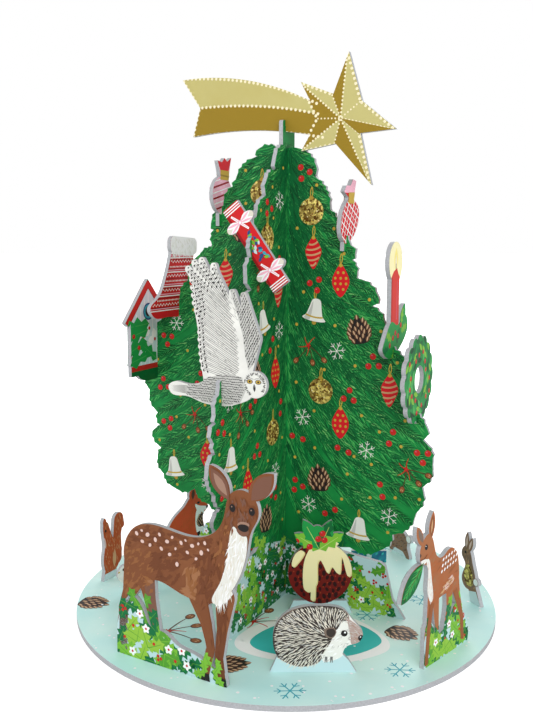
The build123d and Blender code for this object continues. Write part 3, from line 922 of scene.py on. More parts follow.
class Print:
    """All the inked shapes on one board, laid in thin layers on its faces."""

    def __init__(self, name: str, seat: Seat, outline: Outline, thickness: float) -> None:
        """Start a bare print.

        Args:
            name: The name of the board.
            seat: Where the board stands.
            outline: The outline of its face.
            thickness: How thick it is.
        """
        self.name = name
        self.seat = seat
        self.outline = outline
        self.thickness = thickness
        self.pieces: list[tuple[Ink, int, Shape, Faces]] = []

    def draw(self, ink: Ink, shape: Shape, level: Optional[int] = None) -> None:
        """Add a shape, cut to the outline where it crosses it.

        Args:
            ink: What it is printed in.
            shape: Its outline.
            level: The layer that it lies in, or None for the next free one.
        """
        area = sum(u1 * v2 - u2 * v1 for (u1, v1), (u2, v2) in zip(shape, [*shape[1:], shape[0]]))
        if area < 0:
            shape = shape[::-1]
        samples = []
        for start, end in zip(shape, [*shape[1:], shape[0]]):
            count = max(1, int(math.dist(start, end) / SAMPLE_GAP))
            samples += [
                (start[0] + (end[0] - start[0]) * step / count, start[1] + (end[1] - start[1]) * step / count)
                for step in range(count)
            ]
        if self.outline.holds(samples, inner=True):
            points, faces = shape, [tuple(range(len(shape)))]
        else:
            points, faces = self.outline.clip(shape)
        if faces:
            self.pieces.append((ink, self.outline.level_for(shape, level), points, faces))

    def stroke(
        self,
        ink: Ink,
        root: Point,
        degrees: float,
        length: float,
        width: float,
        level: int,
        sweep: float = 0.0,
    ) -> None:
        """Add a thin stroke, shortened or left out where it would leave the board.

        Args:
            ink: What it is printed in.
            root: Where it starts.
            degrees: The way it points.
            length: How long it is.
            width: How wide it is near its root.
            level: The layer that it lies in.
            sweep: How far its tip is swept to the left, as a share of its length.
        """
        for part in STROKE_SHARES:
            shape = blade(root, degrees, length * part, width, sweep)
            middle = ((shape[0][0] + shape[2][0]) / 2, (shape[0][1] + shape[2][1]) / 2)
            if self.outline.surrounds([*shape, middle]):
                self.pieces.append((ink, self.outline.level_for(shape, level), shape, [(0, 1, 2, 3)]))
                return

    def meshes(self, shelf: InkShelf, sides: Sequence[Side]) -> list[bpy.types.Object]:
        """Turn the shapes into objects, the glitter apart from the plain inks.

        Args:
            shelf: Where the inks' materials are.
            sides: The faces that are printed.

        Returns:
            The objects.
        """
        made = []
        for glitter, suffix in ((False, "print"), (True, "glitter")):
            pieces = [piece for piece in self.pieces if piece[0].glitter is glitter]
            if pieces:
                made.append(self._mesh(f"{self.name}_{suffix}", pieces, shelf, sides))
        return made

    def _mesh(
        self, name: str, pieces: Sequence[tuple], shelf: InkShelf, sides: Sequence[Side]
    ) -> bpy.types.Object:
        """One object from some of the shapes.

        Args:
            name: Its name.
            pieces: The shapes.
            shelf: Where the inks' materials are.
            sides: The faces that are printed.

        Returns:
            The object.
        """
        mesh = bpy.data.meshes.new(name)
        slots: dict[str, int] = {}
        places: list[np.ndarray] = []
        faces: Faces = []
        indices: list[int] = []
        total = 0
        for count, (ink, level, points, shape_faces) in enumerate(pieces):
            if ink.name not in slots:
                slots[ink.name] = len(slots)
                mesh.materials.append(shelf.material(ink))
            flat = np.asarray(points, float)
            for side in sides:
                lift = FIRST_LIFT + LIFT * (level + SPREAD * (count % SHADES) / SHADES)
                depth = side.value * (self.thickness / 2 + lift)
                places.append(self.seat.lay(flat, depth))
                for face in shape_faces:
                    ring = face if side is Side.FRONT else face[::-1]
                    faces.append(tuple(index + total for index in ring))
                    indices.append(slots[ink.name])
                total += len(flat)
        mesh.from_pydata(np.concatenate(places).tolist(), [], faces)
        mesh.polygons.foreach_set("material_index", indices)
        mesh.update()
        piece = bpy.data.objects.new(name, mesh)
        bpy.context.collection.objects.link(piece)
        return piece


# Motifs that several boards carry


@dataclass
class Painter:
    """Draws the motifs of the scene into a print."""

    sheet: Print
    chance: random.Random
    limes: tuple[tuple[Ink, int], ...] = ((Inks.LIME, 4), (Inks.LIME_MID, 6), (Inks.LIME_WARM, 8))

    def spot(self, ink: Ink, centre: Point, radius: float, sides: int = 12) -> None:
        """A round spot."""
        self.sheet.draw(ink, dot(centre, radius, sides))

    def berry(self, centre: Point, radius: float = 1.55) -> None:
        """A red berry with a small painted highlight."""
        self.spot(Inks.BERRY, centre, radius)
        self.spot(Inks.ROSE, (centre[0] - radius * 0.35, centre[1] + radius * 0.35), radius * 0.24, 6)

    def berries(self, centre: Point, count: int, radius: float = 1.5) -> None:
        """Berries in a loose cluster."""
        turn = self.chance.uniform(0, 360)
        for index in range(count):
            self.berry(away(centre, radius * 1.95, turn + 360 * index / count), radius)

    def sprig(self, centre: Point, size: float, turn: float, ink: Ink, level: int) -> None:
        """Two or three broad holly leaves without berries, in a layer of their own.

        Args:
            centre: Where the leaves meet.
            size: How long they are.
            turn: The way the middle of the sprig points.
            ink: What the leaves are printed in.
            level: The layer that they lie in, with their ribs in the one above.
        """
        count = self.chance.choice((2, 3))
        rib = Inks.LIME if ink is Inks.LIME_MID else Inks.LIME_MID
        for index in range(count):
            angle = turn + (index - (count - 1) / 2) * 84 + self.chance.uniform(-12, 12)
            tip, vein = moved([(size, 0), (size * 0.8, 0)], centre, angle)
            self.sheet.draw(ink, holly_leaf(centre, tip, size * 0.74), level)
            self.sheet.draw(rib, ribbon([centre, vein], size * 0.04, 0.4), level + 1)

    def cone(self, centre: Point, length: float, turn: float) -> None:
        """A cone with rows of open scales that have tan rims, its tip towards the turn."""
        rows = ((0.02, 0.26, 3), (0.15, 0.36, 4), (0.29, 0.38, 5), (0.43, 0.34, 4), (0.57, 0.28, 3),
                (0.7, 0.2, 2), (0.82, 0.0, 1))
        body = [(0.0, 0.24), (0.16, 0.36), (0.36, 0.38), (0.62, 0.28), (0.86, 0.12), (1.0, 0.0)]
        shape = smooth([*body, *[(u, -v) for u, v in body[-2::-1]]], 3)
        scale = [((u - 0.5) * length, v * length) for u, v in shape]
        # The dark body shows in the gaps between the scales: painted shade.
        self.sheet.draw(Inks.SOOT, moved(scale, centre, turn))
        for along, half, count in rows:
            for index in range(count):
                side = 0.0 if count == 1 else half * (2 * index / (count - 1) - 1)
                root = ((along - 0.5) * length, side * 0.86 * length)
                tip = ((along - 0.5 + 0.2) * length, side * 1.2 * length)
                # Each scale's tan streak is partly its pale rim and partly a painted highlight.
                flap, rim = leaf(root, tip, length * 0.17, 4), leaf(root, tip, length * 0.06, 3)
                self.sheet.draw(Inks.CONE, moved(flap, centre, turn))
                self.sheet.draw(Inks.CONE_TIP, moved([(u + length * 0.012, v) for u, v in rim], centre, turn))

    def flake(self, centre: Point, radius: float, ink: Ink, width: float = 0.45) -> None:
        """A six-armed snowflake with a pair of barbs on each arm."""
        level = None
        turn = self.chance.uniform(0, 60)
        for index in range(6):
            angle = turn + 60 * index
            end = away(centre, radius, angle)
            before = len(self.sheet.pieces)
            self.sheet.draw(ink, ribbon([centre, end], width), level)
            if level is None and len(self.sheet.pieces) > before:
                level = self.sheet.pieces[-1][1]
            for barb in (-1, 1):
                root = away(centre, radius * 0.56, angle)
                top = away(root, radius * 0.36, angle + barb * 48)
                self.sheet.draw(ink, ribbon([root, top], width * 0.9), level)

    def thread(self, top: Point, foot: Point) -> None:
        """The gold loop that an ornament hangs from."""
        side = (foot[1] - top[1]) * 0.24
        middle = ((top[0] + foot[0]) / 2, (top[1] + foot[1]) / 2)
        self.sheet.draw(Inks.AMBER, ribbon(curve(top, (middle[0] - side, middle[1]), foot, 5), 0.42))
        self.sheet.draw(Inks.AMBER, ribbon(curve(top, (middle[0] + side, middle[1]), foot, 5), 0.42))

    def glitter_ball(self, centre: Point, radius: float) -> None:
        """A round ornament covered in gold glitter."""
        self.thread((centre[0] + 0.3, centre[1] + radius + 5.0), (centre[0], centre[1] + radius))
        self.sheet.draw(Inks.GOLD_GLITTER, dot(centre, radius, 22))
        self.sheet.draw(Inks.GOLD, oval((centre[0], centre[1] + radius), (1.2, 0.9)))
        for _ in range(int(radius * 6)):
            angle = self.chance.uniform(0, 360)
            reach = radius * math.sqrt(self.chance.random()) * 0.92
            place = away(centre, reach, angle)
            ink = self.chance.choice((Inks.CUSTARD, Inks.AMBER, Inks.CHESTNUT, Inks.BARK, Inks.FLAME_EDGE))
            self.spot(ink, place, self.chance.uniform(0.25, 0.5), 5)

    def striped_drop(self, centre: Point, length: float) -> None:
        """A pointed red and gold ornament with slanting bands."""
        half = length / 2
        wide = length * 0.27
        self.thread((centre[0] + 0.3, centre[1] + half + 5.0), (centre[0], centre[1] + half))
        body = [(0, half), (wide * 0.5, half * 0.72), (wide, half * 0.2), (wide * 0.8, -half * 0.3),
                (0, -half)]
        shape = moved(smooth(mirrored(body), 4), centre)
        self.sheet.draw(Inks.CHERRY, shape)
        for index in range(5):
            level = half * (0.62 - 0.32 * index)
            spread = wide * math.sin(math.pi * min(0.92, 0.2 + 0.17 * index))
            path = curve((-spread * 0.96, level - 0.6), (0, level - 1.5), (spread * 0.96, level + 0.6), 5)
            self.sheet.draw(Inks.SAND, moved(ribbon(path, length * 0.055), centre))
        self.sheet.draw(Inks.AMBER, oval((centre[0], centre[1] + half * 0.94), (1.0, 0.8)))

    def dotted_drop(self, centre: Point, length: float) -> None:
        """A pointed red ornament with gold spots."""
        half = length / 2
        wide = length * 0.29
        self.thread((centre[0] + 0.3, centre[1] + half + 5.0), (centre[0], centre[1] + half))
        body = [(0, half), (wide * 0.6, half * 0.6), (wide, 0), (wide * 0.7, -half * 0.55), (0, -half)]
        self.sheet.draw(Inks.CHERRY, moved(smooth(mirrored(body), 4), centre))
        for row, count in enumerate((2, 3, 3, 2)):
            for index in range(count):
                side = (index - (count - 1) / 2) * wide * 0.62
                place = (centre[0] + side, centre[1] + half * (0.5 - 0.34 * row))
                self.spot(Inks.AMBER, place, length * 0.045, 7)
        self.sheet.draw(Inks.AMBER, oval((centre[0], centre[1] + half * 0.94), (1.0, 0.8)))

    def bell(self, centre: Point, size: float, turn: float) -> None:
        """A white bell with a gold clapper and a shaded side."""
        body = [(0, 0.52), (0.2, 0.44), (0.3, 0.1), (0.4, -0.22), (0.56, -0.42), (0, -0.5)]
        shape = smooth(mirrored(body), 4)
        self.thread((centre[0], centre[1] + size * 0.5 + 4.0), (centre[0], centre[1] + size * 0.5))
        self.sheet.draw(Inks.GOLD, moved(dot((0.04, -0.54), 0.11), centre, turn, size))
        self.sheet.draw(Inks.DOWN, moved(shape, centre, turn, size))
        shade = smooth([(-0.16, 0.4), (-0.24, 0.1), (-0.34, -0.22), (-0.48, -0.4), (-0.2, -0.45),
                        (-0.14, 0.0)], 3)
        self.sheet.draw(Inks.PEARL, moved(shade, centre, turn, size))
        band = ribbon(curve((-0.42, -0.26), (0, -0.36), (0.42, -0.26), 5), 0.07)
        self.sheet.draw(Inks.AMBER, moved(band, centre, turn, size))

    def twig(self, root: Point, turn: float, length: float) -> None:
        """Reddish stems that spread from a knot, with small brown pods at their ends."""
        stems = ((-70, 0.5), (-30, 0.95), (0, 0.5), (26, 0.8), (62, 1.0), (150, 0.5), (215, 0.42))
        for lean, share in stems:
            end = away(root, length * share, turn + lean)
            bend = moved([(length * share * 0.5, length * 0.08)], root, turn + lean)[0]
            ink = Inks.BERRY if share < 0.6 else Inks.BARK
            self.sheet.draw(ink, ribbon(curve(root, bend, end, 5), length * 0.05, 0.5))
            if share > 0.6:
                self.sheet.draw(Inks.BARK, oval(end, (length * 0.17, length * 0.13), turn + lean, 12))
                self.sheet.draw(Inks.RUSSET, oval(end, (length * 0.13, length * 0.1), turn + lean, 10))
                # Two small sand marks on each pod: painted highlights.
                for side in (-1, 1):
                    shine = moved([(length * 0.03, length * 0.04 * side)], end, turn + lean)[0]
                    self.sheet.draw(Inks.SAND, oval(shine, (length * 0.05, length * 0.018), turn + lean, 6))
        knot = star_points(root, length * 0.06, [(length * 0.14, 72.0 * index) for index in range(5)])
        self.sheet.draw(Inks.BERRY, knot)

    def fur(
        self, inks: Sequence[Ink], area: Shape, lean: float, length: float, count: int, width: float = 0.4
    ) -> None:
        """Short hairs over an area.

        Args:
            inks: The inks to use, one for each layer.
            area: Where the roots are.
            lean: The way the hairs point, in degrees.
            length: How long they are.
            count: How many there are.
            width: How wide they are.
        """
        low_u, high_u = min(u for u, _ in area), max(u for u, _ in area)
        low_v, high_v = min(v for _, v in area), max(v for _, v in area)
        base = self.sheet.outline.top()
        for _ in range(count):
            root = (self.chance.uniform(low_u, high_u), self.chance.uniform(low_v, high_v))
            if holds_point(area, root):
                pick = self.chance.randrange(len(inks))
                angle = lean + self.chance.gauss(0, 14)
                reach = length * self.chance.uniform(0.6, 1.2)
                self.sheet.stroke(inks[pick], root, angle, reach, width, base + 1 + pick)

    def bank(
        self, area: Shape, room: float, size: float, cover: float = 0.6, dark: float = 0.4, trunk: float = 0.0
    ) -> None:
        """A snow bank overgrown with holly, small white blossom and a few berries.

        Args:
            area: The bank.
            room: How far apart the sprigs stand.
            size: How long their leaves are.
            cover: The share of places that carry a light sprig.
            dark: The share of places that have a dark sprig behind.
            trunk: How far from the trunk the sprigs are mostly dark: painted shade where the panels cross.
        """
        self.sheet.draw(Inks.ICE, area, Layer.SNOW)
        low_u, high_u = min(u for u, _ in area), max(u for u, _ in area)
        high_v = max(v for _, v in area)
        row, v, places = 0, size * 0.1, []
        while v < high_v:
            u = low_u + (row % 2) * room / 2
            while u < high_u:
                place = (u + self.chance.uniform(-0.18, 0.18) * room,
                         v + self.chance.uniform(-0.14, 0.14) * room)
                if holds_point(area, place) and self.sheet.outline.holds([place]):
                    places.append(place)
                u += room
            row, v = row + 1, v + room * 0.78
        # Near the trunk the sprigs are mostly dark: painted shade where the crossed panels meet.
        for place in places:
            if self.chance.random() < (0.95 if abs(place[0]) < trunk else dark):
                turn = self.chance.uniform(0, 360)
                self.sprig(place, size * 0.95, turn, Inks.HOLLY_DARK, Layer.SPRIG_BEHIND)
        for place in places:
            if self.chance.random() < (0.4 * cover if abs(place[0]) < trunk else cover):
                ink, level = self.limes[self.chance.randrange(3)]
                length = size * self.chance.uniform(0.85, 1.1)
                self.sprig(place, length, self.chance.uniform(0, 360), ink, level)
        for place in places:
            roll = self.chance.random()
            centre = (place[0] + room * 0.3, place[1] + room * 0.34)
            if roll > 0.62 or not self.sheet.outline.holds([centre]) or not holds_point(area, centre):
                continue
            if roll < 0.24:
                self._blossom(centre, room * 0.3)
            else:
                for index in range(self.chance.choice((1, 2, 3))):
                    berry = dot(away(centre, room * 0.13, 120 * index), room * 0.1, 8)
                    self.sheet.draw(Inks.BERRY, berry, Layer.HEART)

    def _blossom(self, centre: Point, size: float) -> None:
        """A small white flower with a red heart."""
        turn = self.chance.uniform(0, 72)
        for index in range(5):
            petal = away(centre, size, turn + 72 * index)
            self.sheet.draw(Inks.SNOW, leaf(centre, petal, size * 0.7, 4), Layer.PETAL)
        self.sheet.draw(Inks.BERRY, dot(centre, size * 0.26, 7), Layer.HEART)


# The boards


@dataclass
class PrintedBoard:
    """A board of the scene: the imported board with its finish, and its print."""

    node: str
    seat: Seat
    finish: BoardFinish
    thickness: float = BOARD
    sides: tuple[Side, ...] = (Side.FRONT, Side.BACK)
    seed: int = 2
    painter: Painter = field(init=False)

    def make(self, frame: dict, groups: ShaderGroups, shelf: InkShelf) -> None:
        """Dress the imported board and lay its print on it.

        Args:
            frame: The loaded frame.
            groups: The shared shader groups.
            shelf: The inks.
        """
        board = frame["nodes"][self.node]
        facing = Vector(self.seat.axes()[2])
        board.data.materials.clear()
        board.data.materials.append(self.finish.material(groups, facing))
        sheet = Print(self.node, self.seat, Outline(board, self.seat), self.thickness)
        self.painter = Painter(sheet, random.Random(self.seed))
        self.paint()
        for piece in sheet.meshes(shelf, self.sides):
            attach(piece, "root")
            log.info("%s: %d faces", piece.name, len(piece.data.polygons))

    def paint(self) -> None:
        """Draw the board's print."""

    def ink(self, ink: Ink, shape: Shape) -> None:
        """Draw one shape."""
        self.painter.sheet.draw(ink, shape)


@dataclass
class BaseDisc(PrintedBoard):
    """The round snow ground with its frozen pond."""

    flakes: tuple[Point, ...] = ((43.3, -80.4), (75.9, -44.8), (45.6, -4.3), (63.4, 23.8), (-44.0, 66.0),
                                 (20.0, 80.0))
    cones: tuple[tuple[float, float, float], ...] = (
        (-75.7, -55.1, 10.0),
        (13.1, -73.2, 35.0),
        (66.7, -14.3, -15.0),
        (-62.0, 50.0, 60.0),
    )
    twigs: tuple[tuple[float, float, float], ...] = ((-27.6, -62.4, 25.0), (2.0, -36.0, 60.0),
                                                     (-30.0, 44.0, 120.0))

    def paint(self) -> None:
        """Draw the snow, the pond, the cones and the twigs."""
        painter = self.painter
        rim = [(3.3, -54.9), (10.0, -62.0), (24.0, -62.6), (40.0, -57.6), (54.0, -50.0), (64.6, -36.0),
               (65.1, -26.7),
               (57.0, -18.0), (42.0, -11.0), (30.0, -12.0), (20.6, -14.2), (10.0, -28.0), (3.6, -42.0)]
        water = [(9.6, -52.4), (16.0, -57.6), (28.0, -57.0), (42.0, -51.4), (54.0, -43.0), (60.8, -30.0),
                 (59.0, -22.6),
                 (50.0, -16.6), (38.5, -14.6), (26.0, -16.6), (17.0, -26.0), (10.6, -40.0)]
        self.ink(Inks.SNOW, smooth(rim, 6))
        self.ink(Inks.TEAL, smooth(water, 6))
        for _ in range(16):
            place = (painter.chance.uniform(12, 58), painter.chance.uniform(-54, -18))
            if holds_point(water, place):
                painter.spot(Inks.SNOW, place, painter.chance.uniform(0.3, 0.6), 7)
        for place in self.flakes:
            painter.flake(place, 6.4, Inks.TEAL_DARK, 0.55)
        for u, v, turn in self.cones:
            painter.cone((u, v), 15.0, turn)
        for u, v, turn in self.twigs:
            painter.twig((u, v), turn, 17.0)
        for _ in range(420):
            reach = BASE_RADIUS * math.sqrt(painter.chance.uniform(0.05, 0.985))
            place = turned((reach, 0), painter.chance.uniform(0, 360))
            painter.sheet.draw(Inks.SNOW, dot(place, painter.chance.uniform(0.25, 0.75), 7), 1)


@dataclass
class TreePanel(PrintedBoard):
    """Half of the crossed tree: boughs of needles, ornaments and a snow bank at the foot."""

    bank_left: tuple[Point, ...] = ()
    bank_right: tuple[Point, ...] = ()
    needle_gap: float = 0.8
    bough_gap: float = 7.2
    bough_levels: Point = (216.0, 34.0)
    spray_levels: Point = (208.0, 40.0)
    crown: float = 222.0

    def paint(self) -> None:
        """Draw both wings."""
        for side, bank in ((-1, self.bank_left), (1, self.bank_right)):
            self._boughs(side)
            self._bank(side, bank)
            self._ornaments(side)

    def _boughs(self, side: int) -> None:
        """Draw the boughs of a wing, from the trunk down and out to its edge.

        Args:
            side: 1 or -1.
        """
        sheet, chance = self.painter.sheet, self.painter.chance
        level, row = self.bough_levels[0], 0
        while level > self.bough_levels[1]:
            reach = sheet.outline.reach(level, side)
            for share in ((1.0, 0.6), (0.98, 0.76, 0.4))[row % 2]:
                end = reach * share * chance.uniform(0.97, 1.02)
                tip = (side * end, level + chance.uniform(-1.5, 1.5))
                root = (side * 0.6, min(level + 7 + end * 0.98, self.crown))
                self._bough(side, root, tip)
            level -= self.bough_gap
            row += 1
        level = self.spray_levels[0]
        while level > self.spray_levels[1]:
            self._spray(side, level)
            level -= self.bough_gap * 1.3

    def _spray(self, side: int, level: float) -> None:
        """Draw a stem with fine dark needles on both sides, out to a wing's edge.

        Args:
            side: 1 or -1.
            level: How high its tip is.
        """
        sheet, chance = self.painter.sheet, self.painter.chance
        reach = sheet.outline.reach(level, side)
        length = min(17.0, reach * 0.4)
        root = (side * (reach - length), level + length * 0.5)
        path = curve(root, (root[0] + side * length * 0.4, root[1] - length * 0.1), (side * reach, level), 14)
        for index, (start, end) in enumerate(zip(path, path[1:])):
            angle = heading(start, end)
            sheet.stroke(Inks.PINE_DARK, start, angle, math.dist(start, end) * 1.4, 0.6, Layer.SPRAY)
            for hand in (-1, 1):
                lean = angle + hand * (34 + chance.uniform(-5, 5))
                sheet.stroke(Inks.PINE_DEEP, start, lean, 6.4 - 0.2 * index, 0.44, Layer.SPRAY, -hand * 0.1)
                sheet.stroke(Inks.PINE_LIGHT, end, lean, 5.6 - 0.2 * index, 0.46, Layer.SPRAY_LIGHT,
                             -hand * 0.1)

    def _bough(self, side: int, root: Point, tip: Point) -> None:
        """Draw one bough: painted shade under it, its needles, dark lines between them, a painted highlight
        on top.

        Args:
            side: 1 or -1.
            root: Where it leaves the trunk.
            tip: Where it ends.
        """
        sheet, chance = self.painter.sheet, self.painter.chance
        drop = root[1] - tip[1]
        path = curve(root, (tip[0] * 0.3, tip[1] + drop * 0.26), tip, 16)
        lengths = [math.dist(start, end) for start, end in zip(path, path[1:])]
        total, done = sum(lengths), 0.0
        for start, end, length in zip(path, path[1:], lengths):
            angle = heading(start, end)
            share = done / total
            # Dark strokes just under the bough: painted shade.
            gap = (start[0] - side * 0.8, start[1] - 2.6)
            if 0.02 < share < 0.66:
                sheet.stroke(Inks.PINE_DARK, gap, angle, length * 2.4, 1.7 * (1 - share), Layer.BOUGH_SHADE)
            steps = max(1, round(length / self.needle_gap))
            for step in range(steps):
                part = (step + chance.random()) / steps
                place = between(start, end, part)
                self._needles(side, place, angle, share + part * length / total)
            done += length
        self._flow(path, 0.0, Inks.PINE_DARK, 0.6, Layer.NEEDLE_DARK)
        for hand in (-1, 1):
            for near, far, width in ((1.0, 1.5, 0.42), (2.2, 2.9, 0.36)):
                self._flow(path, hand * chance.uniform(near, far), Inks.PINE_DARK, width, Layer.NEEDLE_DARK)
        # A light line along the bough's upper side: painted highlight.
        self._flow(path, side * chance.uniform(1.6, 2.1), Inks.PINE_LIGHT, 0.4, Layer.NEEDLE_TIP)

    def _flow(self, path: Shape, shift: float, ink: Ink, width: float, level: int) -> None:
        """Draw a long line beside a bough's middle, further from it towards the tip.

        Args:
            path: The middle of the bough.
            shift: How far the line lies to the left of it in the end.
            ink: What it is printed in.
            width: How wide it is.
            level: The layer that it lies in.
        """
        last = len(path) - 2
        for index in range(1, last):
            start, end = path[index], path[index + 1]
            length = math.dist(start, end) or 1.0
            off = shift * (0.5 + 0.7 * index / last)
            root = (start[0] - (end[1] - start[1]) / length * off,
                    start[1] + (end[0] - start[0]) / length * off)
            angle = heading(start, end)
            lean = math.degrees(math.atan2(shift * 0.7 / last, length))
            self.painter.sheet.stroke(ink, root, angle + lean, length * 1.35, width, level)

    def _needles(self, side: int, place: Point, angle: float, share: float) -> None:
        """Draw the needles on both sides of one spot of a bough.

        Args:
            side: 1 or -1.
            place: The spot.
            angle: The way the bough runs there.
            share: How far along the bough it is.
        """
        sheet, chance = self.painter.sheet, self.painter.chance
        for hand in (-1, 1):
            # The upper side gets more light needles: painted light from above.
            upper = hand == side
            lean = hand * (12 + 18 * share + chance.uniform(-6, 6))
            length = (9.2 - 3.0 * share) * chance.uniform(0.8, 1.15)
            sweep = -hand * 0.09
            roll = chance.random()
            darker = 0.16 + 0.3 * min(1.0, share * 1.6)
            if roll < darker * 0.8:
                ink, level, width = Inks.PINE_DARK, Layer.NEEDLE_DARK, 0.4
            elif roll < darker:
                ink, level, width = Inks.PINE_DEEP, Layer.NEEDLE_DEEP, 0.34
            elif roll < darker + 0.2:
                ink, level, width = Inks.PINE_LIGHT, Layer.NEEDLE_LIGHT, 0.6
                # The palest needles, on the upper side further out: partly pale tips, partly painted
                # highlight.
                if upper and share > 0.35 and chance.random() < 0.4:
                    ink, level, width = Inks.PINE_TIP, Layer.NEEDLE_TIP, 0.36
            elif roll < darker + 0.4 and upper:
                ink, level, width = Inks.PINE_LIGHT, Layer.NEEDLE_LIGHT, 0.7
            else:
                ink, level, width = Inks.PINE, Layer.NEEDLE, 0.9
            sheet.stroke(ink, place, angle + lean, length, width, level, sweep)

    def _bank(self, side: int, bank: Sequence[Point]) -> None:
        """Draw the snow bank at the foot of a wing.

        Args:
            side: 1 or -1.
            bank: The upper edge of the bank, from the trunk outwards.
        """
        area = [(side * u, v) for u, v in [*bank, (0.0, BASE_BOARD)]]
        # Within 30 mm of the trunk the sprigs are mostly dark: painted shade where the crossed panels meet.
        self.painter.bank(area, 6.2, 7.4, 0.52, 0.45, 30.0)

    def _ornaments(self, side: int) -> None:
        """Hang the ornaments on a wing, well apart.

        Args:
            side: 1 or -1.
        """
        painter, chance = self.painter, self.painter.chance
        outline = painter.sheet.outline
        taken: list[tuple[float, float, float]] = []
        wanted = [
            ("ball", 2, 8.4),
            ("bell", 2, 7.8),
            ("striped", 2, 8.4),
            ("dotted", 2, 8.4),
            ("cone", 2, 8.4),
            ("twig", 2, 8.2),
            ("flake", 5, 5.4),
            ("berries", 11, 4.2),
            ("speck", 30, 1.5),
        ]
        for kind, count, room in wanted:
            placed: list[Point] = []
            for _ in range(count):
                free = []
                for _ in range(PLACE_TRIES):
                    place = (side * chance.uniform(4 + room * 0.7, 80), chance.uniform(42, 212))
                    ring = oval(place, (room * 0.9, room * 1.05), 0, 12)
                    if outline.holds(ring, inner=True) and all(
                        math.dist(place, (u, v)) > room + other for u, v, other in taken
                    ):
                        free.append(place)
                    if len(free) == PLACE_CHOICES:
                        break
                if not free:
                    break
                room_left = [min((math.dist(spot, other) for other in placed), default=0.0) for spot in free]
                place = free[room_left.index(max(room_left))]
                taken.append((*place, room))
                placed.append(place)
                self._ornament(kind, place)

    def _ornament(self, kind: str, place: Point) -> None:
        """Draw one ornament.

        Args:
            kind: Which one.
            place: Its middle.
        """
        painter, chance = self.painter, self.painter.chance
        if kind == "ball":
            painter.glitter_ball(place, 6.2)
        elif kind == "bell":
            painter.bell(place, 10.6, chance.uniform(-16, 16))
        elif kind == "striped":
            painter.striped_drop(place, 15.0)
        elif kind == "dotted":
            painter.dotted_drop(place, 15.0)
        elif kind == "cone":
            painter.cone(place, 13.0, 90 + chance.uniform(-12, 12))
        elif kind == "twig":
            painter.twig((place[0], place[1] + 3.6), 270 + chance.uniform(-20, 20), 10.5)
        elif kind == "flake":
            painter.flake(place, 4.4, Inks.DOWN, 0.3)
        elif kind == "berries":
            painter.berries(place, chance.choice((2, 3, 3)))
        else:
            painter.spot(Inks.AMBER, place, 0.8, 8)


@dataclass
class ShootingStar(PrintedBoard):
    """The gold star with its forked tail."""

    middle: Point = (28.4, 1.4)
    waist: float = 11.4
    tips: tuple[Point, ...] = ((28.0, 84.0), (26.5, 140.0), (24.0, 214.0), (33.0, 296.0), (26.0, 346.0))

    def paint(self) -> None:
        """Draw the tail and the rays, with painted light and shade on them, and their dotted edges."""
        upper = curve((-55.6, 25.4), (-12.0, 23.8), (18.0, 8.0), 12)
        lower = curve((-50.0, -2.6), (-14.0, 1.0), (20.0, -6.4), 12)
        spine = curve((-45.3, 11.2), (-10.0, 11.6), (19.0, 3.6), 12)
        # The lower half of the tail in dark gold: painted shade.
        self.ink(Inks.GOLD_DARK, spine + lower[::-1])
        corners = star_points(self.middle, self.waist, self.tips)
        self.ink(Inks.GOLD_LIGHT, corners)
        # Half of each ray in dark gold on the light gold star: painted light and shade on its facets.
        for first in (0, 2, 3, 5, 7):
            self.ink(Inks.GOLD_DARK, [self.middle, corners[first], corners[first + 1]])
        ends = ([(-55.2, 25.0), (-45.6, 11.2)], [(-45.6, 11.2), (-49.5, -2.2)])
        edges = [list(edge) for edge in zip(corners, corners[1:] + corners[:1])]
        for path in (upper, lower, spine, *ends, *edges):
            self._dots(path)
        for index, corner in enumerate(corners):
            self._dots([self.middle, corner], 0.5 if index % 2 == 0 else 0.42, 1.7)

    def _dots(self, path: Shape, radius: float = 0.72, gap: float = 2.3) -> None:
        """Draw a row of cream dots along a path.

        Args:
            path: The path.
            radius: The size of each dot.
            gap: The space between their middles.
        """
        left = gap / 2
        for start, end in zip(path, path[1:]):
            length = math.dist(start, end)
            while left < length:
                share = left / length
                place = between(start, end, share)
                self.painter.sheet.draw(Inks.CREAM, dot(place, radius, 8), 6)
                left += gap
            left -= length


@dataclass
class PinkSweet(PrintedBoard):
    """A round wrapped sweet with slanting stripes."""

    def paint(self) -> None:
        """Draw the leg, the stripes, the neck and the fan."""
        self.ink(Inks.PINE, [(-5.0, -4.0), (-5.0, 4.2), (5.0, 4.2), (5.0, -4.0)])
        middle, radius = (0.2, 12.4), 9.4
        self.ink(Inks.PINK, dot(middle, radius, 26))
        for index in range(7):
            across = -7.8 + index * 2.6
            half = math.sqrt(max(radius**2 - across**2, 0.2))
            wide = 0.42 if index % 2 else 0.25
            stripe = [(-half, across - wide), (half, across - wide), (half, across + wide),
                      (-half, across + wide)]
            self.ink(Inks.CRIMSON if index % 2 else Inks.SNOW, moved(stripe, middle, 14))
        for _ in range(60):
            place = away(middle, radius * 0.9 * math.sqrt(self.painter.chance.random()),
                         self.painter.chance.uniform(0, 360))
            self.painter.sheet.draw(Inks.SNOW, dot(place, 0.28, 5), 4)
        self.ink(Inks.CHERRY, [(-1.6, 24.0), (-4.6, 29.0), (-0.4, 28.6), (2.2, 30.8), (4.6, 29.2),
                               (8.8, 31.4), (5.6, 24.0)])
        self.ink(Inks.AMBER, [(-2.0, 19.8), (-1.8, 24.4), (6.0, 24.4), (6.4, 19.8)])
        self.ink(Inks.GOLD_DARK, ribbon([(-2.4, 22.0), (6.6, 21.6)], 0.8))


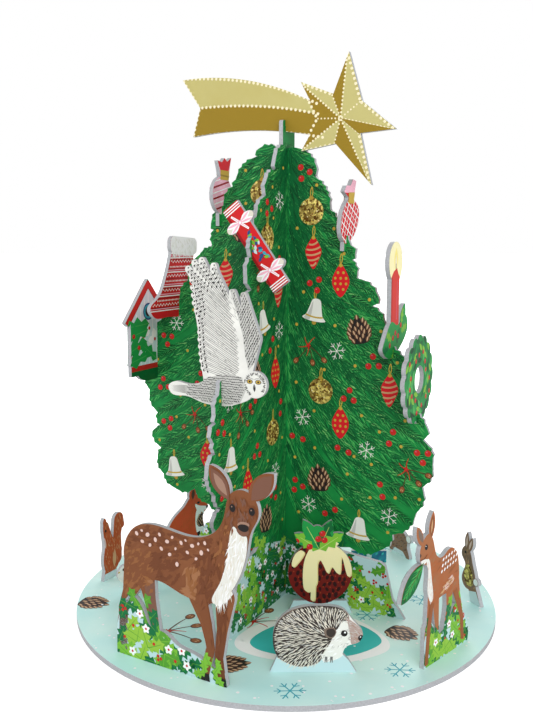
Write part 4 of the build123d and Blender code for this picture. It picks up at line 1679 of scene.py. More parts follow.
@dataclass
class CheckSweet(PrintedBoard):
    """A long wrapped sweet with a check of fine white lines."""

    def paint(self) -> None:
        """Draw the leg, the check, the neck and the fan."""
        self.ink(Inks.PINE, [(-5.0, -4.0), (-5.0, 3.4), (5.0, 3.4), (5.0, -4.0)])
        body = [(1.8, 21.0), (-4.0, 16.8), (-7.2, 11.0), (-7.4, 5.4), (-3.0, 1.0), (3.0, 1.2), (9.4, 5.4),
                (13.6, 11.0),
                (14.0, 16.6), (8.6, 20.4)]
        shape = smooth(body, 5)
        self.ink(Inks.CHERRY, shape)
        for turn in (62, -28):
            for index in range(-4, 5):
                self._line(shape, (3.4, 11.2), turn, index * 2.7, 0.3 if index % 2 else 0.62)
        self.ink(Inks.PINK, [(1.4, 23.4), (-4.2, 23.4), (-1.6, 27.0), (3.4, 27.2), (6.2, 30.4), (10.6, 29.6),
                             (8.0, 24.0)])
        self.ink(Inks.AMBER, [(0.4, 18.8), (1.0, 23.6), (8.0, 24.0), (7.2, 18.8)])

    def _line(self, shape: Shape, middle: Point, turn: float, shift: float, width: float) -> None:
        """Draw a white line across the sweet's body.

        Args:
            shape: The body.
            middle: Its middle.
            turn: The way the line runs, in degrees.
            shift: How far it lies from the middle.
            width: How wide it is.
        """
        line = [(t * 0.4, shift) for t in range(-40, 41)]
        inside = [u for u, v in line if holds_point(shape, moved([(u, v)], middle, turn)[0])]
        if len(inside) > 1:
            path = moved([(inside[0], shift), (inside[-1], shift)], middle, turn)
            self.ink(Inks.SNOW, ribbon(path, width))


@dataclass
class Cracker(PrintedBoard):
    """A red cracker with two bows and a spray of flowers."""

    middle: Point = (2.7, -2.4)
    slant: float = -54.0
    tie: float = 12.6

    def paint(self) -> None:
        """Draw the tube's painted shade, the pinstripes, the bows with their painted shade and the flowers.
        """
        # A darker strip along the tube's lower edge: painted shade.
        self._shape(Inks.CRIMSON, [(-21.5, -4.6), (21.5, -4.6), (21.5, -3.2), (-21.5, -3.2)])
        for at in (-20.8, -19.7, -18.6, 18.6, 19.7, 20.8):
            self._band(Inks.SNOW, at - 0.26, at + 0.26)
        for at in (-self.tie, self.tie):
            self._band(Inks.CRIMSON, at - 1.0, at + 1.0)
            for side in (-1, 1):
                self._shape(Inks.BONE, oval((at, side * 5.4), (2.4, 3.0)))
                # In the loops and the tails, the narrower pink strokes inside the white are painted shade in
                # the folds.
                for ink, along, across, width in (
                    (Inks.SNOW, -2.0, 7.8, 2.6),
                    (Inks.SNOW, 2.2, 7.4, 2.4),
                    (Inks.PINK, -1.7, 6.8, 1.0),
                    (Inks.PINK, 1.9, 6.6, 0.9),
                ):
                    self._shape(ink, leaf((at, 0), (at + along, side * across), width))
                self._shape(Inks.SNOW, ribbon([(at, 0), (at + side * 4.6, side * 2.2)], 1.3, 0.7))
                self._shape(Inks.PINK, ribbon([(at, 0), (at + side * 4.2, side * 2.0)], 0.4, 0.7))
            self._shape(Inks.PINK, dot((at, 0), 1.1))
            self._shape(Inks.SNOW, dot((at, 0), 0.6))
        for index in range(22):
            along = self.painter.chance.uniform(-6.4, 6.4)
            across = self.painter.chance.uniform(-2.8, 2.8)
            ink = (Inks.TEAL_DARK, Inks.LIME, Inks.NAVY, Inks.NAVY, Inks.FROST)[index % 5]
            turn = self.painter.chance.uniform(0, 360)
            self._shape(ink, moved(leaf((0, 0), (2.6, 0), 1.4, 4), (along, across), turn))

    def _shape(self, ink: Ink, shape: Shape) -> None:
        """Draw a shape given along the tube and across it."""
        self.ink(ink, moved(shape, self.middle, self.slant))

    def _band(self, ink: Ink, start: float, end: float) -> None:
        """Draw a band round the tube."""
        self._shape(ink, [(start, -4.6), (end, -4.6), (end, 4.6), (start, 4.6)])


@dataclass
class Stocking(PrintedBoard):
    """A knitted stocking with a fleece cuff."""

    def paint(self) -> None:
        """Draw the knit bands and the cuff."""
        chance = self.painter.chance
        sheet = self.painter.sheet
        bands = ("line", "zig", "dots", "line", "zig", "line", "dots", "zig", "line", "dots", "zig", "line",
                 "dots")
        for row, band in enumerate(bands):
            level = 1.0 + row * 2.35
            if band == "line":
                sheet.draw(Inks.SNOW, ribbon([(-30, level - 0.35), (16, level - 0.35)], 0.5), 1)
                sheet.draw(Inks.PINK, ribbon([(-30, level + 0.65), (16, level + 0.65)], 0.4), 1)
                continue
            for column in range(38):
                u = -28 + column * 1.25
                rise = 0.5 if band == "zig" and column % 2 else -0.1
                shape = [(u, level - 0.5 + rise), (u + 0.46, level + rise), (u, level + 0.5 + rise),
                         (u - 0.46, level + rise)]
                if sheet.outline.holds(shape):
                    sheet.draw(Inks.SNOW, shape, 1)
        for row in range(6):
            sheet.draw(Inks.CRIMSON, ribbon([(-30, 2.1 + row * 4.7), (16, 2.1 + row * 4.7)], 0.5), 2)
        cuff = moved([(-12.4, -4.8), (12.4, -4.8), (12.4, 5.0), (-12.4, 5.0)], (4.4, 32.6), -3)
        sheet.draw(Inks.SNOW, cuff, 3)
        self.painter.fur((Inks.DOWN, Inks.SNOW), cuff, -80, 2.6, 300, 0.5)
        for _ in range(16):
            place = (chance.uniform(-6, 15), chance.uniform(29.5, 36))
            sheet.stroke(Inks.PEARL, place, chance.uniform(-100, -50), 1.3, 0.16, 7)


@dataclass
class BirdHouse(PrintedBoard):
    """A wooden nesting box with a red roof, a planted trough and holly beside it."""

    middle: float = -8.2

    def paint(self) -> None:
        """Draw the wall, the hole, the roof, the leaves and the trough."""
        m = self.middle
        self.ink(Inks.FROST, [(m - 15.0, -9.6), (m - 15.0, 16.0), (m, 33.0), (m + 15.0, 16.0),
                              (m + 15.0, -9.6)])
        for step in range(-4, 5):
            self.ink(Inks.SNOW, ribbon([(m + step * 3.3, -9.0), (m + step * 3.3, 29.0 - abs(step) * 3.6)],
                                       0.35))
        # Navy and teal rings round a dark middle: painted shade inside the entrance hole.
        for ink, radius, sides in ((Inks.NAVY, 4.4, 22), (Inks.TEAL_DARK, 3.6, 22), (Inks.SOOT, 2.6, 20)):
            self.ink(ink, dot((m, 19.2), radius, sides))
        for u, v, turn, size in ((m - 4.5, 6.6, 70, 6.2), (m + 5.0, 4.6, 100, 5.8),
                                 (m + 0.4, 10.6, 150, 5.0)):
            for angle in (turn, turn + 84):
                self.ink(Inks.SNOW, moved(leaf((0, 0), (size, 0), size * 0.72), (u, v), angle))
            self.painter.berry((u, v), 0.9)
        for eave in (m - 20.0, m + 20.0):
            self.ink(Inks.BERRY, ribbon([(eave, 12.8), (m, 34.6)], 5.0))
        self.ink(Inks.CRIMSON, ribbon([(m - 17.0, 12.4), (m, 31.2), (m + 17.0, 12.4)], 0.5))
        self.ink(Inks.PINE_DARK, smooth([(m - 19.6, -10.6), (m - 15.4, -15.6), (m, -17.0), (m + 15.4, -15.6),
                                         (m + 19.6, -10.6), (m, -8.6)], 5))
        self.ink(Inks.BERRY, ribbon([(m - 16.0, -9.2), (m + 16.0, -9.2)], 2.6))
        for root, tip, width in (
            ((-8.0, 13.0), (-28.8, 12.0), 9.0),
            ((-9.0, 10.0), (-31.4, 5.8), 10.0),
            ((-10.0, 4.0), (-32.0, -2.6), 10.5),
            ((-9.0, -3.0), (-32.8, -7.4), 8.5),
            ((-2.0, -6.0), (-16.0, 4.0), 8.0),
        ):
            self.ink(Inks.PINE, holly_leaf(root, tip, width))
            end = ((root[0] + tip[0] * 3) / 4, (root[1] + tip[1] * 3) / 4)
            self.ink(Inks.PINE_LIGHT, ribbon([root, end], 0.5, 0.4))
        for place in ((-21.0, 7.4), (-24.0, -3.0), (-17.0, 1.4)):
            self.painter.berry(place, 1.2)


@dataclass
class Owl(PrintedBoard):
    """A pale owl in flight, with flecked feathers."""

    quills: tuple[Point, ...] = (
        (-2.4, 54.0), (-8.2, 56.2), (-11.7, 55.2), (-14.9, 52.6), (-13.4, 48.2), (-13.0, 45.0), (-12.6, 41.8),
        (-12.2, 38.6), (-11.2, 35.4), (-10.2, 32.4), (-9.8, 29.4), (-9.7, 26.4), (-9.6, 23.4), (-9.4, 20.4),
        (-9.2, 17.4), (-8.8, 14.4), (-8.2, 11.4),
    )
    leading: tuple[Point, ...] = ((4.6, 41.0), (8.0, 34.0), (10.2, 25.0), (11.0, 18.0), (11.6, 10.6),
                                  (8.0, 7.6))

    def paint(self) -> None:
        """Draw both wings, the body and the face."""
        self._far_wing()
        self._near_wing()
        self._body()
        self._face()

    def _far_wing(self) -> None:
        """Draw the rows of dark flecks on the far wing."""
        sheet, chance = self.painter.sheet, self.painter.chance
        area = [(5.0, 45.6), (13.4, 44.4), (20.4, 28.0), (19.6, 18.0), (14.0, 12.0), (12.4, 18.0),
                (11.4, 26.0), (9.0, 34.0)]
        sheet.draw(Inks.PEARL, area, 1)
        for row in range(30):
            for column in range(14):
                u, v = 4.6 + column * 1.15 + (row % 2) * 0.55, 13.0 + row * 1.06
                if holds_point(area, (u, v)):
                    dark = Inks.SOOT if v < 40 and chance.random() < 0.34 else Inks.SMOKE
                    sheet.stroke(dark, (u, v), 68 + chance.gauss(0, 9), 1.5, 0.62, 2)

    def _near_wing(self) -> None:
        """Draw each feather of the near wing: its shaft, its barbs and the flecks near its tip."""
        sheet, chance = self.painter.sheet, self.painter.chance
        count = len(self.quills)
        for index, tip in enumerate(self.quills):
            spot = index / (count - 1) * (len(self.leading) - 1)
            first = min(int(spot), len(self.leading) - 2)
            part = spot - first
            inner, outer = self.leading[first], self.leading[first + 1]
            root = tuple(inner[axis] * (1 - part) + outer[axis] * part for axis in (0, 1))
            length = math.dist(root, tip)
            angle = heading(root, tip)
            for side, ink, width in ((-0.8, Inks.ASH, 0.3), (0.0, Inks.SMOKE, 0.26), (0.8, Inks.ASH, 0.3)):
                foot, top = moved([(length * 0.1, side), (length * 0.97, side * 0.8)], root, angle)
                sheet.draw(ink, ribbon([foot, top], width, 0.8), 3)
            flecks = 7 if index < 4 else 4 if index < 8 else 2
            for step in range(flecks):
                for side in (-1, 1):
                    reach = length + 0.4 - step * 2.0 - (0.9 if side > 0 else 0.0)
                    place = moved([(reach, side * 0.25)], root, angle)[0]
                    sheet.stroke(Inks.SOOT, place, angle + side * 118, 1.5, 0.75, 4)
        for _ in range(110):
            place = (chance.uniform(-8, 10), chance.uniform(10, 44))
            sheet.stroke(Inks.ASH, place, 135 + chance.gauss(0, 8), chance.uniform(2, 4), 0.24, 3)

    def _body(self) -> None:
        """Draw the barred body and the pale tail."""
        sheet, chance = self.painter.sheet, self.painter.chance
        area = [(-15.0, 3.6), (-9.0, 6.4), (-2.0, 8.4), (5.0, 10.0), (11.0, 8.8), (12.6, 3.0), (10.0, -2.2),
                (2.0, -4.0), (-8.0, -3.2),
                (-16.0, -0.8)]
        sheet.draw(Inks.PEARL, area, 5)
        for row in range(13):
            for column in range(32):
                u, v = -16.0 + column * 0.92 + (row % 2) * 0.46, -4.0 + row * 1.05
                if holds_point(area, (u, v)):
                    turn = 162 + chance.gauss(0, 10) + 3.0 * (v - 3)
                    ink = Inks.SOOT if chance.random() < 0.2 else Inks.SMOKE
                    sheet.stroke(ink, (u, v), turn, 1.45, 0.5, 6)
        for index in range(9):
            v = -0.3 + index * 0.46
            sheet.stroke(Inks.ASH, (-14.0, v), 176 + index, 10.4, 0.3, 6)

    def _face(self) -> None:
        """Draw the face disc, the eyes and the beak."""
        chance, sheet = self.painter.chance, self.painter.sheet
        self.ink(Inks.DOWN, oval((17.0, 6.0), (4.9, 5.0)))
        for side in (14.6, 18.6):
            self.ink(Inks.SMOKE, oval((side, 7.4), (1.5, 1.0)))
            self.ink(Inks.AMBER, oval((side, 7.4), (1.05, 0.75)))
            self.ink(Inks.SOOT, dot((side, 7.4), 0.45, 8))
            self.ink(Inks.ASH, ribbon(curve((side - 1.8, 8.4), (side, 9.4), (side + 1.8, 8.4), 5), 0.3))
        self.ink(Inks.SMOKE, leaf((16.7, 6.6), (16.9, 3.2), 1.3, 4))
        self.ink(Inks.SOOT, leaf((16.8, 5.4), (16.9, 3.4), 0.7, 4))
        level = sheet.outline.top() + 1
        for _ in range(120):
            angle = chance.uniform(-40, 250)
            place = away((17.0, 6.2), chance.uniform(3.6, 4.6), angle)
            sheet.stroke(Inks.SMOKE, place, angle, 0.9, 0.36, level)


@dataclass
class Candle(PrintedBoard):
    """A red candle with a painted glow, in a bunch of holly."""

    def paint(self) -> None:
        """Draw the painted glow, the flame, the candle with its painted shade and highlight, and the holly.
        """
        # A pale halo round the flame: painted glow.
        self.ink(Inks.FLAME, oval((0.2, 39.4), (9.2, 9.8), 0, 24))
        self.ink(Inks.FLAME_EDGE, leaf((0.2, 35.0), (0.4, 46.0), 5.0, 8))
        self.ink(Inks.CREAM, leaf((0.2, 35.4), (0.4, 43.0), 2.4, 6))
        self.ink(Inks.CANDLE, [(-5.4, -4.0), (-5.4, 33.0), (-2.4, 35.6), (1.6, 37.0), (3.6, 34.4),
                               (5.4, 33.0), (5.4, -4.0)])
        # A darker strip down the candle's left side: painted shade.
        self.ink(Inks.BERRY, [(-5.4, -4.0), (-5.4, 32.0), (-3.4, 33.4), (-3.4, -4.0)])
        # A pale stripe down its right side: painted highlight.
        self.ink(Inks.ROSE, ribbon([(2.2, 14.0), (2.2, 31.0)], 0.8, 0.5))
        self.ink(Inks.BARK, ribbon([(0.4, 36.0), (0.2, 39.0)], 0.5))
        self.ink(Inks.PINE, smooth([(-15.0, 3.0), (-9.6, 9.4), (-4.0, 13.4), (4.0, 11.4), (11.0, 15.8),
                                    (16.8, 14.4),
                                    (18.0, 9.0), (10.0, 1.6), (2.0, -2.2), (-9.0, -2.6)], 5))
        self.ink(Inks.PINE, leaf((8.0, 8.0), (13.6, 21.0), 7.0))
        for u, v, turn, ink in ((-4, 5, 150, Inks.LIME), (3, 3, 60, Inks.HOLLY_DARK), (9, 8, 20, Inks.LIME),
                                (9, 12, 80, Inks.LIME), (-8, 2, 190, Inks.HOLLY_DARK),
                                (0, 1, 250, Inks.LIME)):
            tip = away((u, v), 8.0, turn)
            self.ink(ink, holly_leaf((u, v), tip, 4.6))
        for place in ((-2.0, 6.0), (1.0, 8.0), (4.6, 6.4), (8.0, 11.0), (-6.0, 3.0)):
            self.painter.berry(place, 1.25)


@dataclass
class Wreath(PrintedBoard):
    """A wreath of small leaves and berries."""

    middle: Point = (0.0, 17.6)

    def paint(self) -> None:
        """Draw rings of leaves and a scatter of berries."""
        chance = self.painter.chance
        for ring, count in ((17.0, 24), (13.0, 20), (9.2, 15)):
            for index in range(count):
                angle = 360 * index / count + chance.uniform(-5, 5)
                root = away(self.middle, ring, angle)
                turn = angle + 90 + chance.uniform(-40, 40)
                tip = away(root, 5.6, turn)
                ink = chance.choice((Inks.LIME, Inks.PINE_LIGHT, Inks.PINE_DARK, Inks.PINE_DEEP))
                self.ink(ink, leaf(root, tip, 2.4, 4))
        for index in range(15):
            angle = 24 * index + chance.uniform(-6, 6)
            self.painter.berry(away(self.middle, chance.uniform(8.6, 16.6), angle), 1.15)


@dataclass
class Deer(PrintedBoard):
    """A spotted deer that stands on a bank of holly."""

    def paint(self) -> None:
        """Draw the coat, the bank, the chest, the ears and the face."""
        self._coat()
        self._bank()
        self._head()

    def _coat(self) -> None:
        """Draw the shading of the body and legs, and the spots along the back."""
        painter = self.painter
        self.ink(Inks.EAR_DARK, ribbon([(-9.6, 36), (-8.4, 28), (-6.2, 16), (-6, 6)], 5.4, 0.9))
        self.ink(Inks.COAT_MID, ribbon([(-16, 40), (-19.6, 29.0), (-23.4, 20.0), (-24.4, 0)], 5.0, 0.9))
        coat = (
            ((Inks.COAT_MID, Inks.COAT_DARK), [(-23, 47), (-20, 60), (8, 60), (22, 62), (26, 52), (8, 49),
                                               (-12, 51)], 186, 300),
            ((Inks.COAT_LIGHT, Inks.COAT_MID), [(-24, 30), (-23, 49), (-8, 50), (-5, 42), (-8, 36),
                                                (-15, 30)], 232, 170),
            ((Inks.COAT_MID, Inks.COAT_DARK), [(-6, 41), (-5, 50), (8, 51), (8.4, 42), (3, 38)], 215, 120),
            ((Inks.FAWN, Inks.COAT_LIGHT), [(9.6, 40), (10.6, 48), (16, 47), (15, 39), (12, 37)], 250, 44),
            ((Inks.COAT_LIGHT, Inks.FAWN), [(-9, 33), (-9, 37), (0, 37), (8, 37), (15, 37), (15, 33),
                                            (4, 31.6)], 190, 70),
            ((Inks.COAT_MID, Inks.COAT_DARK), [(18, 32), (16, 50), (22, 58), (26, 48), (23, 36)], 250, 110),
            ((Inks.COAT_LIGHT, Inks.COAT_MID), [(24, 56), (28, 70), (32, 66), (31, 56), (26, 50)], 250, 90),
        )
        for inks, area, lean, count in coat:
            painter.fur(inks, area, lean, 5.2, count, 1.7)
        level = painter.sheet.outline.top() + 1
        spots = ((-15.3, 55.3, 1.2), (-12.4, 52.4, 1.1), (-9.6, 55.8, 1.3), (-8.4, 51.6, 1.0),
                 (-5.6, 54.4, 1.2), (-3.4, 57.0, 1.0),
                 (-2.6, 51.2, 1.1), (0.4, 54.8, 1.2), (1.6, 49.6, 1.1), (3.0, 57.0, 0.9), (4.6, 52.6, 0.8),
                 (5.2, 46.2, 1.2),
                 (7.4, 55.6, 1.1), (9.6, 57.0, 0.7), (10.4, 52.2, 1.0), (12.8, 55.4, 1.2), (14.6, 50.4, 0.9),
                 (15.8, 56.8, 0.8),
                 (17.2, 53.4, 1.3), (18.9, 57.7, 1.0), (-12.6, 57.0, 0.8), (20.4, 55.2, 0.7))
        for u, v, radius in spots:
            painter.sheet.draw(Inks.BLUSH, oval((u, v), (radius * 0.86, radius * 0.68), 15 * u, 10), level)

    def _bank(self) -> None:
        """Draw the snow and holly about the feet, and the legs in front of it."""
        painter = self.painter
        area = [(-29.0, -1.0), (-28.0, 10.0), (-24.4, 22.6), (-19.0, 29.0), (-13.0, 24.0), (-9.0, 17.0),
                (-2.0, 16.0),
                (4.0, 12.6), (12.0, 11.0), (20.0, 8.4), (29.0, 5.6), (30.0, -1.0)]
        painter.bank(area, 7.4, 9.0, 0.56, 0.6)
        legs = ([(16.4, 36), (19.4, 24.6), (21.0, 14.6), (18.2, 2.0)],
                [(27.0, 36), (26.4, 23.6), (25.2, 11.6), (26.4, 1.0)])
        for path, ink in zip(legs, (Inks.COAT_MID, Inks.COAT_DARK)):
            self.ink(ink, ribbon(path, 4.6, 0.8))
            painter.fur((Inks.COAT_MID, Inks.COAT_DARK), ribbon(path, 3.6, 0.7), 262, 5.0, 60, 0.9)
        self.ink(Inks.SOOT, [(16.2, 0.2), (16.9, 3.4), (20.3, 3.4), (20.7, 0.2)])
        self.ink(Inks.SOOT, [(24.5, 0.2), (25.0, 3.4), (28.1, 3.4), (28.5, 0.2)])
        level = painter.sheet.outline.top() + 1
        for place, turn in (((20.6, 7.2), 80), ((22.6, 4.0), 10), ((18.4, 3.4), 150)):
            painter.sprig(place, 6.4, turn, Inks.LIME, level)

    def _head(self) -> None:
        """Draw the pale chest, the ears, the eyes and the nose."""
        painter = self.painter
        chest = [(31.8, 66.4), (35.0, 64.8), (38.4, 63.6), (37.8, 55.0), (35.4, 46.0), (30.4, 37.6),
                 (25.0, 33.4),
                 (22.0, 35.4), (26.4, 44.0), (29.4, 54.0)]
        self.ink(Inks.DOWN, smooth(chest, 5))
        painter.fur((Inks.BONE, Inks.DOWN, Inks.SNOW), smooth(chest, 5), 262, 4.4, 520, 0.5)
        painter.fur((Inks.COAT_MID, Inks.EAR_DARK), [(28, 66), (29, 79), (42, 79), (42.6, 72), (36, 70),
                                                     (33, 66)], 262, 3.4, 60, 0.9)
        for root, tip, width in (((30.4, 77.0), (22.2, 88.6), 6.8), ((40.2, 78.4), (49.2, 89.2), 7.0)):
            self.ink(Inks.EAR_DARK, leaf(root, tip, width))
        self.ink(Inks.EAR, leaf((29.6, 78.6), (23.4, 86.8), 3.6))
        painter.fur((Inks.COAT_MID, Inks.EAR_DARK), [(34.4, 75), (35.0, 70), (36.4, 68.6), (39.4, 69),
                                                     (39.8, 75)], 268, 3.0, 44, 0.8)
        for u in (32.0, 40.7):
            self.ink(Inks.COAT_DARK, oval((u, 74.2), (1.8, 2.0), 0, 16))
            self.ink(Inks.SOOT, oval((u, 74.2), (1.35, 1.6), 0, 16))
            # A small pale dot in each eye: painted highlight.
            self.ink(Inks.EAR, dot((u - 0.3, 74.7), 0.3, 7))
        self.ink(Inks.EAR, smooth([(34.2, 67.8), (35.4, 69.3), (38.2, 69.6), (39.6, 68.6), (37.4, 67.6)], 4))
        self.ink(Inks.EAR_DARK, smooth([(33.8, 66.6), (36.6, 66.4), (39.4, 66.6), (38.8, 64.6), (36.4, 63.8),
                                        (34.4, 64.8)], 4))
        self.ink(Inks.SOOT, smooth([(34.4, 67.4), (35.6, 68.4), (37.8, 68.6), (39.2, 68.0), (38.8, 66.4),
                                    (37.2, 65.7), (35.2, 66.1)], 5))


@dataclass
class YoungDeer(PrintedBoard):
    """A young deer with a sprig of fir in its mouth."""

    def paint(self) -> None:
        """Draw the coat, the chest, the bank, the legs, the face and the sprig."""
        painter = self.painter
        painter.fur((Inks.FAWN, Inks.YOUNG_COAT), [(-13, 28), (-14, 50), (-9, 60), (-4, 46), (8, 49),
                                                   (11, 28)], 215, 4.4, 150, 1.2)
        painter.fur((Inks.YOUNG_COAT, Inks.RUSSET), [(-6, 40), (-4, 47), (6, 49), (10, 44), (11, 32),
                                                     (4, 38)], 205, 4.0, 110, 1.0)
        level = painter.sheet.outline.top() + 1
        for index in range(18):
            place = (-3.8 + (index % 6) * 2.2 + (index // 6) * 0.5,
                     38.6 + (index // 6) * 2.5 + (index % 6) * 0.35)
            painter.sheet.draw(Inks.SNOW, oval(place, (0.85, 0.5), 52, 8), level)
        self.ink(Inks.DOWN, smooth([(-15.6, 46.2), (-13.4, 46.0), (-11.6, 38.0), (-10.0, 29.6),
                                    (-12.0, 28.0), (-14.8, 34.0)], 5))
        painter.fur((Inks.BLUSH, Inks.SNOW), [(-15, 46), (-13, 46), (-10, 30), (-12, 28), (-14.6, 36)], 265,
                    2.6, 90, 0.4)
        painter.fur((Inks.BLUSH, Inks.SAND), [(-3.0, 29.0), (-1.0, 32.0), (6.0, 35.0), (6.6, 32.0)], 205,
                    2.6, 120, 0.7)
        area = [(-18.0, -1.0), (-16.2, 9.6), (-13.6, 21.0), (-10.4, 20.0), (-7.0, 13.6), (-2.0, 13.4),
                (3.0, 16.6),
                (8.0, 22.4), (12.4, 19.4), (17.6, 12.6), (20.6, 5.2), (20.0, -1.4)]
        painter.bank(area, 6.4, 8.4, 0.56, 0.6)
        self.ink(Inks.RUSSET, ribbon([(-10.6, 27), (-12.8, 17), (-14.0, 1.0)], 3.2, 0.8))
        self.ink(Inks.RUSSET, ribbon([(7.4, 27), (9.8, 22), (13.6, 13.0), (14.6, 2.4)], 3.4, 0.7))
        self._head()

    def _head(self) -> None:
        """Draw the ears, the eye, the muzzle and the sprig."""
        self.ink(Inks.MOUSE, leaf((-18.6, 55.0), (-22.4, 61.6), 2.4))
        self.ink(Inks.CHESTNUT, leaf((-12.8, 56.0), (-11.8, 65.0), 2.8))
        self.ink(Inks.SAND, leaf((-12.8, 57.4), (-12.0, 63.6), 1.2))
        self.ink(Inks.DOWN, smooth([(-20.4, 47.6), (-17.0, 47.8), (-14.8, 46.8), (-18.4, 45.8)], 4))
        self.ink(Inks.UMBER, ribbon(curve((-20.8, 48.4), (-17.8, 47.4), (-15.6, 49.4), 6), 0.35))
        self.ink(Inks.SOOT, oval((-16.2, 52.6), (1.1, 1.3), 20, 12))
        # A small white dot in the eye: painted highlight.
        self.ink(Inks.SNOW, dot((-16.6, 53.1), 0.28, 6))
        self.ink(Inks.SOOT, oval((-20.8, 50.2), (0.9, 0.8)))
        self.ink(Inks.PINE_DARK, leaf((-17.8, 46.6), (-33.8, 33.4), 9.0))
        self.ink(Inks.CHESTNUT, ribbon([(-18.0, 46.4), (-31.6, 35.0)], 0.5, 0.6))
        turn = math.degrees(math.atan2(-12.6, -15.0))
        level = self.painter.sheet.outline.top()
        for index in range(66):
            place = (-18.0 - 14.4 * index / 66, 46.4 - 12.0 * index / 66)
            lean = (30 if index % 2 else -30) + self.painter.chance.uniform(-10, 10)
            ink = (Inks.PINE, Inks.PINE_LIGHT, Inks.PINE_DEEP, Inks.PINE_LIGHT, Inks.PINE)[index % 5]
            self.painter.sheet.stroke(ink, place, turn + lean, 5.6, 0.6, level + index % 5)


@dataclass
class Hedgehog(PrintedBoard):
    """A hedgehog on a low snow mound."""

    def paint(self) -> None:
        """Draw the mound, the spines, the face and the feet."""
        sheet, chance = self.painter.sheet, self.painter.chance
        self.ink(Inks.ICE, [(-10.4, -0.4), (-7.0, 8.4), (20.0, 8.4), (23.0, 5.6), (26.6, -0.4)])
        face = [(19.6, 21.6), (22.2, 22.0), (24.4, 19.0), (28.6, 16.0), (27.6, 13.0), (22.6, 11.2),
                (19.4, 6.6), (13.0, 4.4),
                (11.6, 7.0), (14.2, 11.0), (16.4, 14.0), (17.6, 18.0)]
        coat = [(-6.6, 6.4), (-9.0, 12.0), (-8.6, 18.4), (-5.0, 24.0), (1.0, 27.8), (8.0, 29.4),
                (15.0, 29.4), (20.6, 27.4),
                (22.6, 23.0), (20.6, 20.6), (16.6, 17.6), (15.4, 13.6), (12.6, 8.6), (10.0, 4.0), (2.0, 2.4)]
        self.ink(Inks.MOUSE, smooth(coat, 5))
        self.ink(Inks.SPINE_DARK, smooth([(u * 0.97 + 0.2, v * 0.96 + 0.5) for u, v in coat], 5))
        self.ink(Inks.DOWN, smooth(face, 5))
        base = sheet.outline.top()
        for row in range(34):
            for column in range(30):
                root = (-9.4 + column * 1.1 + (row % 2) * 0.55 + chance.uniform(-0.4, 0.4),
                        2.4 + row * 0.82 + chance.uniform(-0.5, 0.5))
                if not holds_point(coat, root):
                    continue
                outwards = heading((17.0, 14.5), root)
                angle = outwards + chance.gauss(0, 7) + max(-14.0, min(16.0, (15.0 - root[1]) * 1.4))
                ink = Inks.BONE if chance.random() < 0.8 else Inks.PEARL
                sheet.stroke(ink, root, angle, chance.uniform(2.0, 3.3), chance.uniform(0.28, 0.42), base + 1)
        self.painter.fur((Inks.SNOW, Inks.PEARL), face, 215, 2.2, 160, 0.3)
        snout = smooth([(22.0, 23.0), (25.0, 21.0), (30.4, 16.8), (29.0, 12.4), (25.4, 11.4), (23.4, 12.6),
                        (23.2, 15.6), (22.4, 19.0)], 4)
        self.ink(Inks.SNOUT, snout)
        self.painter.fur((Inks.EAR, Inks.SNOUT, Inks.PEARL), snout, 150, 2.0, 110, 0.3)
        self.ink(Inks.MOUSE, smooth([(12.6, 18.6), (16.0, 19.4), (17.4, 17.4), (15.8, 14.8), (13.0, 15.6)],
                                    4))
        self.ink(Inks.SPINE_DARK, smooth([(13.6, 18.4), (16.2, 18.8), (17.0, 16.8), (15.4, 15.2),
                                          (13.6, 16.2)], 4))
        self.ink(Inks.SOOT, dot((20.6, 16.9), 1.35, 16))
        # A small white dot in the eye: painted highlight.
        self.ink(Inks.SNOW, dot((20.9, 17.3), 0.42, 8))
        self.ink(Inks.SOOT, dot((27.5, 14.9), 1.3, 14))
        # A small white dot on the nose: painted highlight.
        self.ink(Inks.SNOW, dot((27.2, 15.4), 0.28, 6))
        for u in (13.4, 15.6):
            for toe in (-0.5, 0.3):
                self.ink(Inks.SMOKE, ribbon([(u + toe * 0.4, 6.8), (u + toe, 4.2)], 0.7, 0.4))


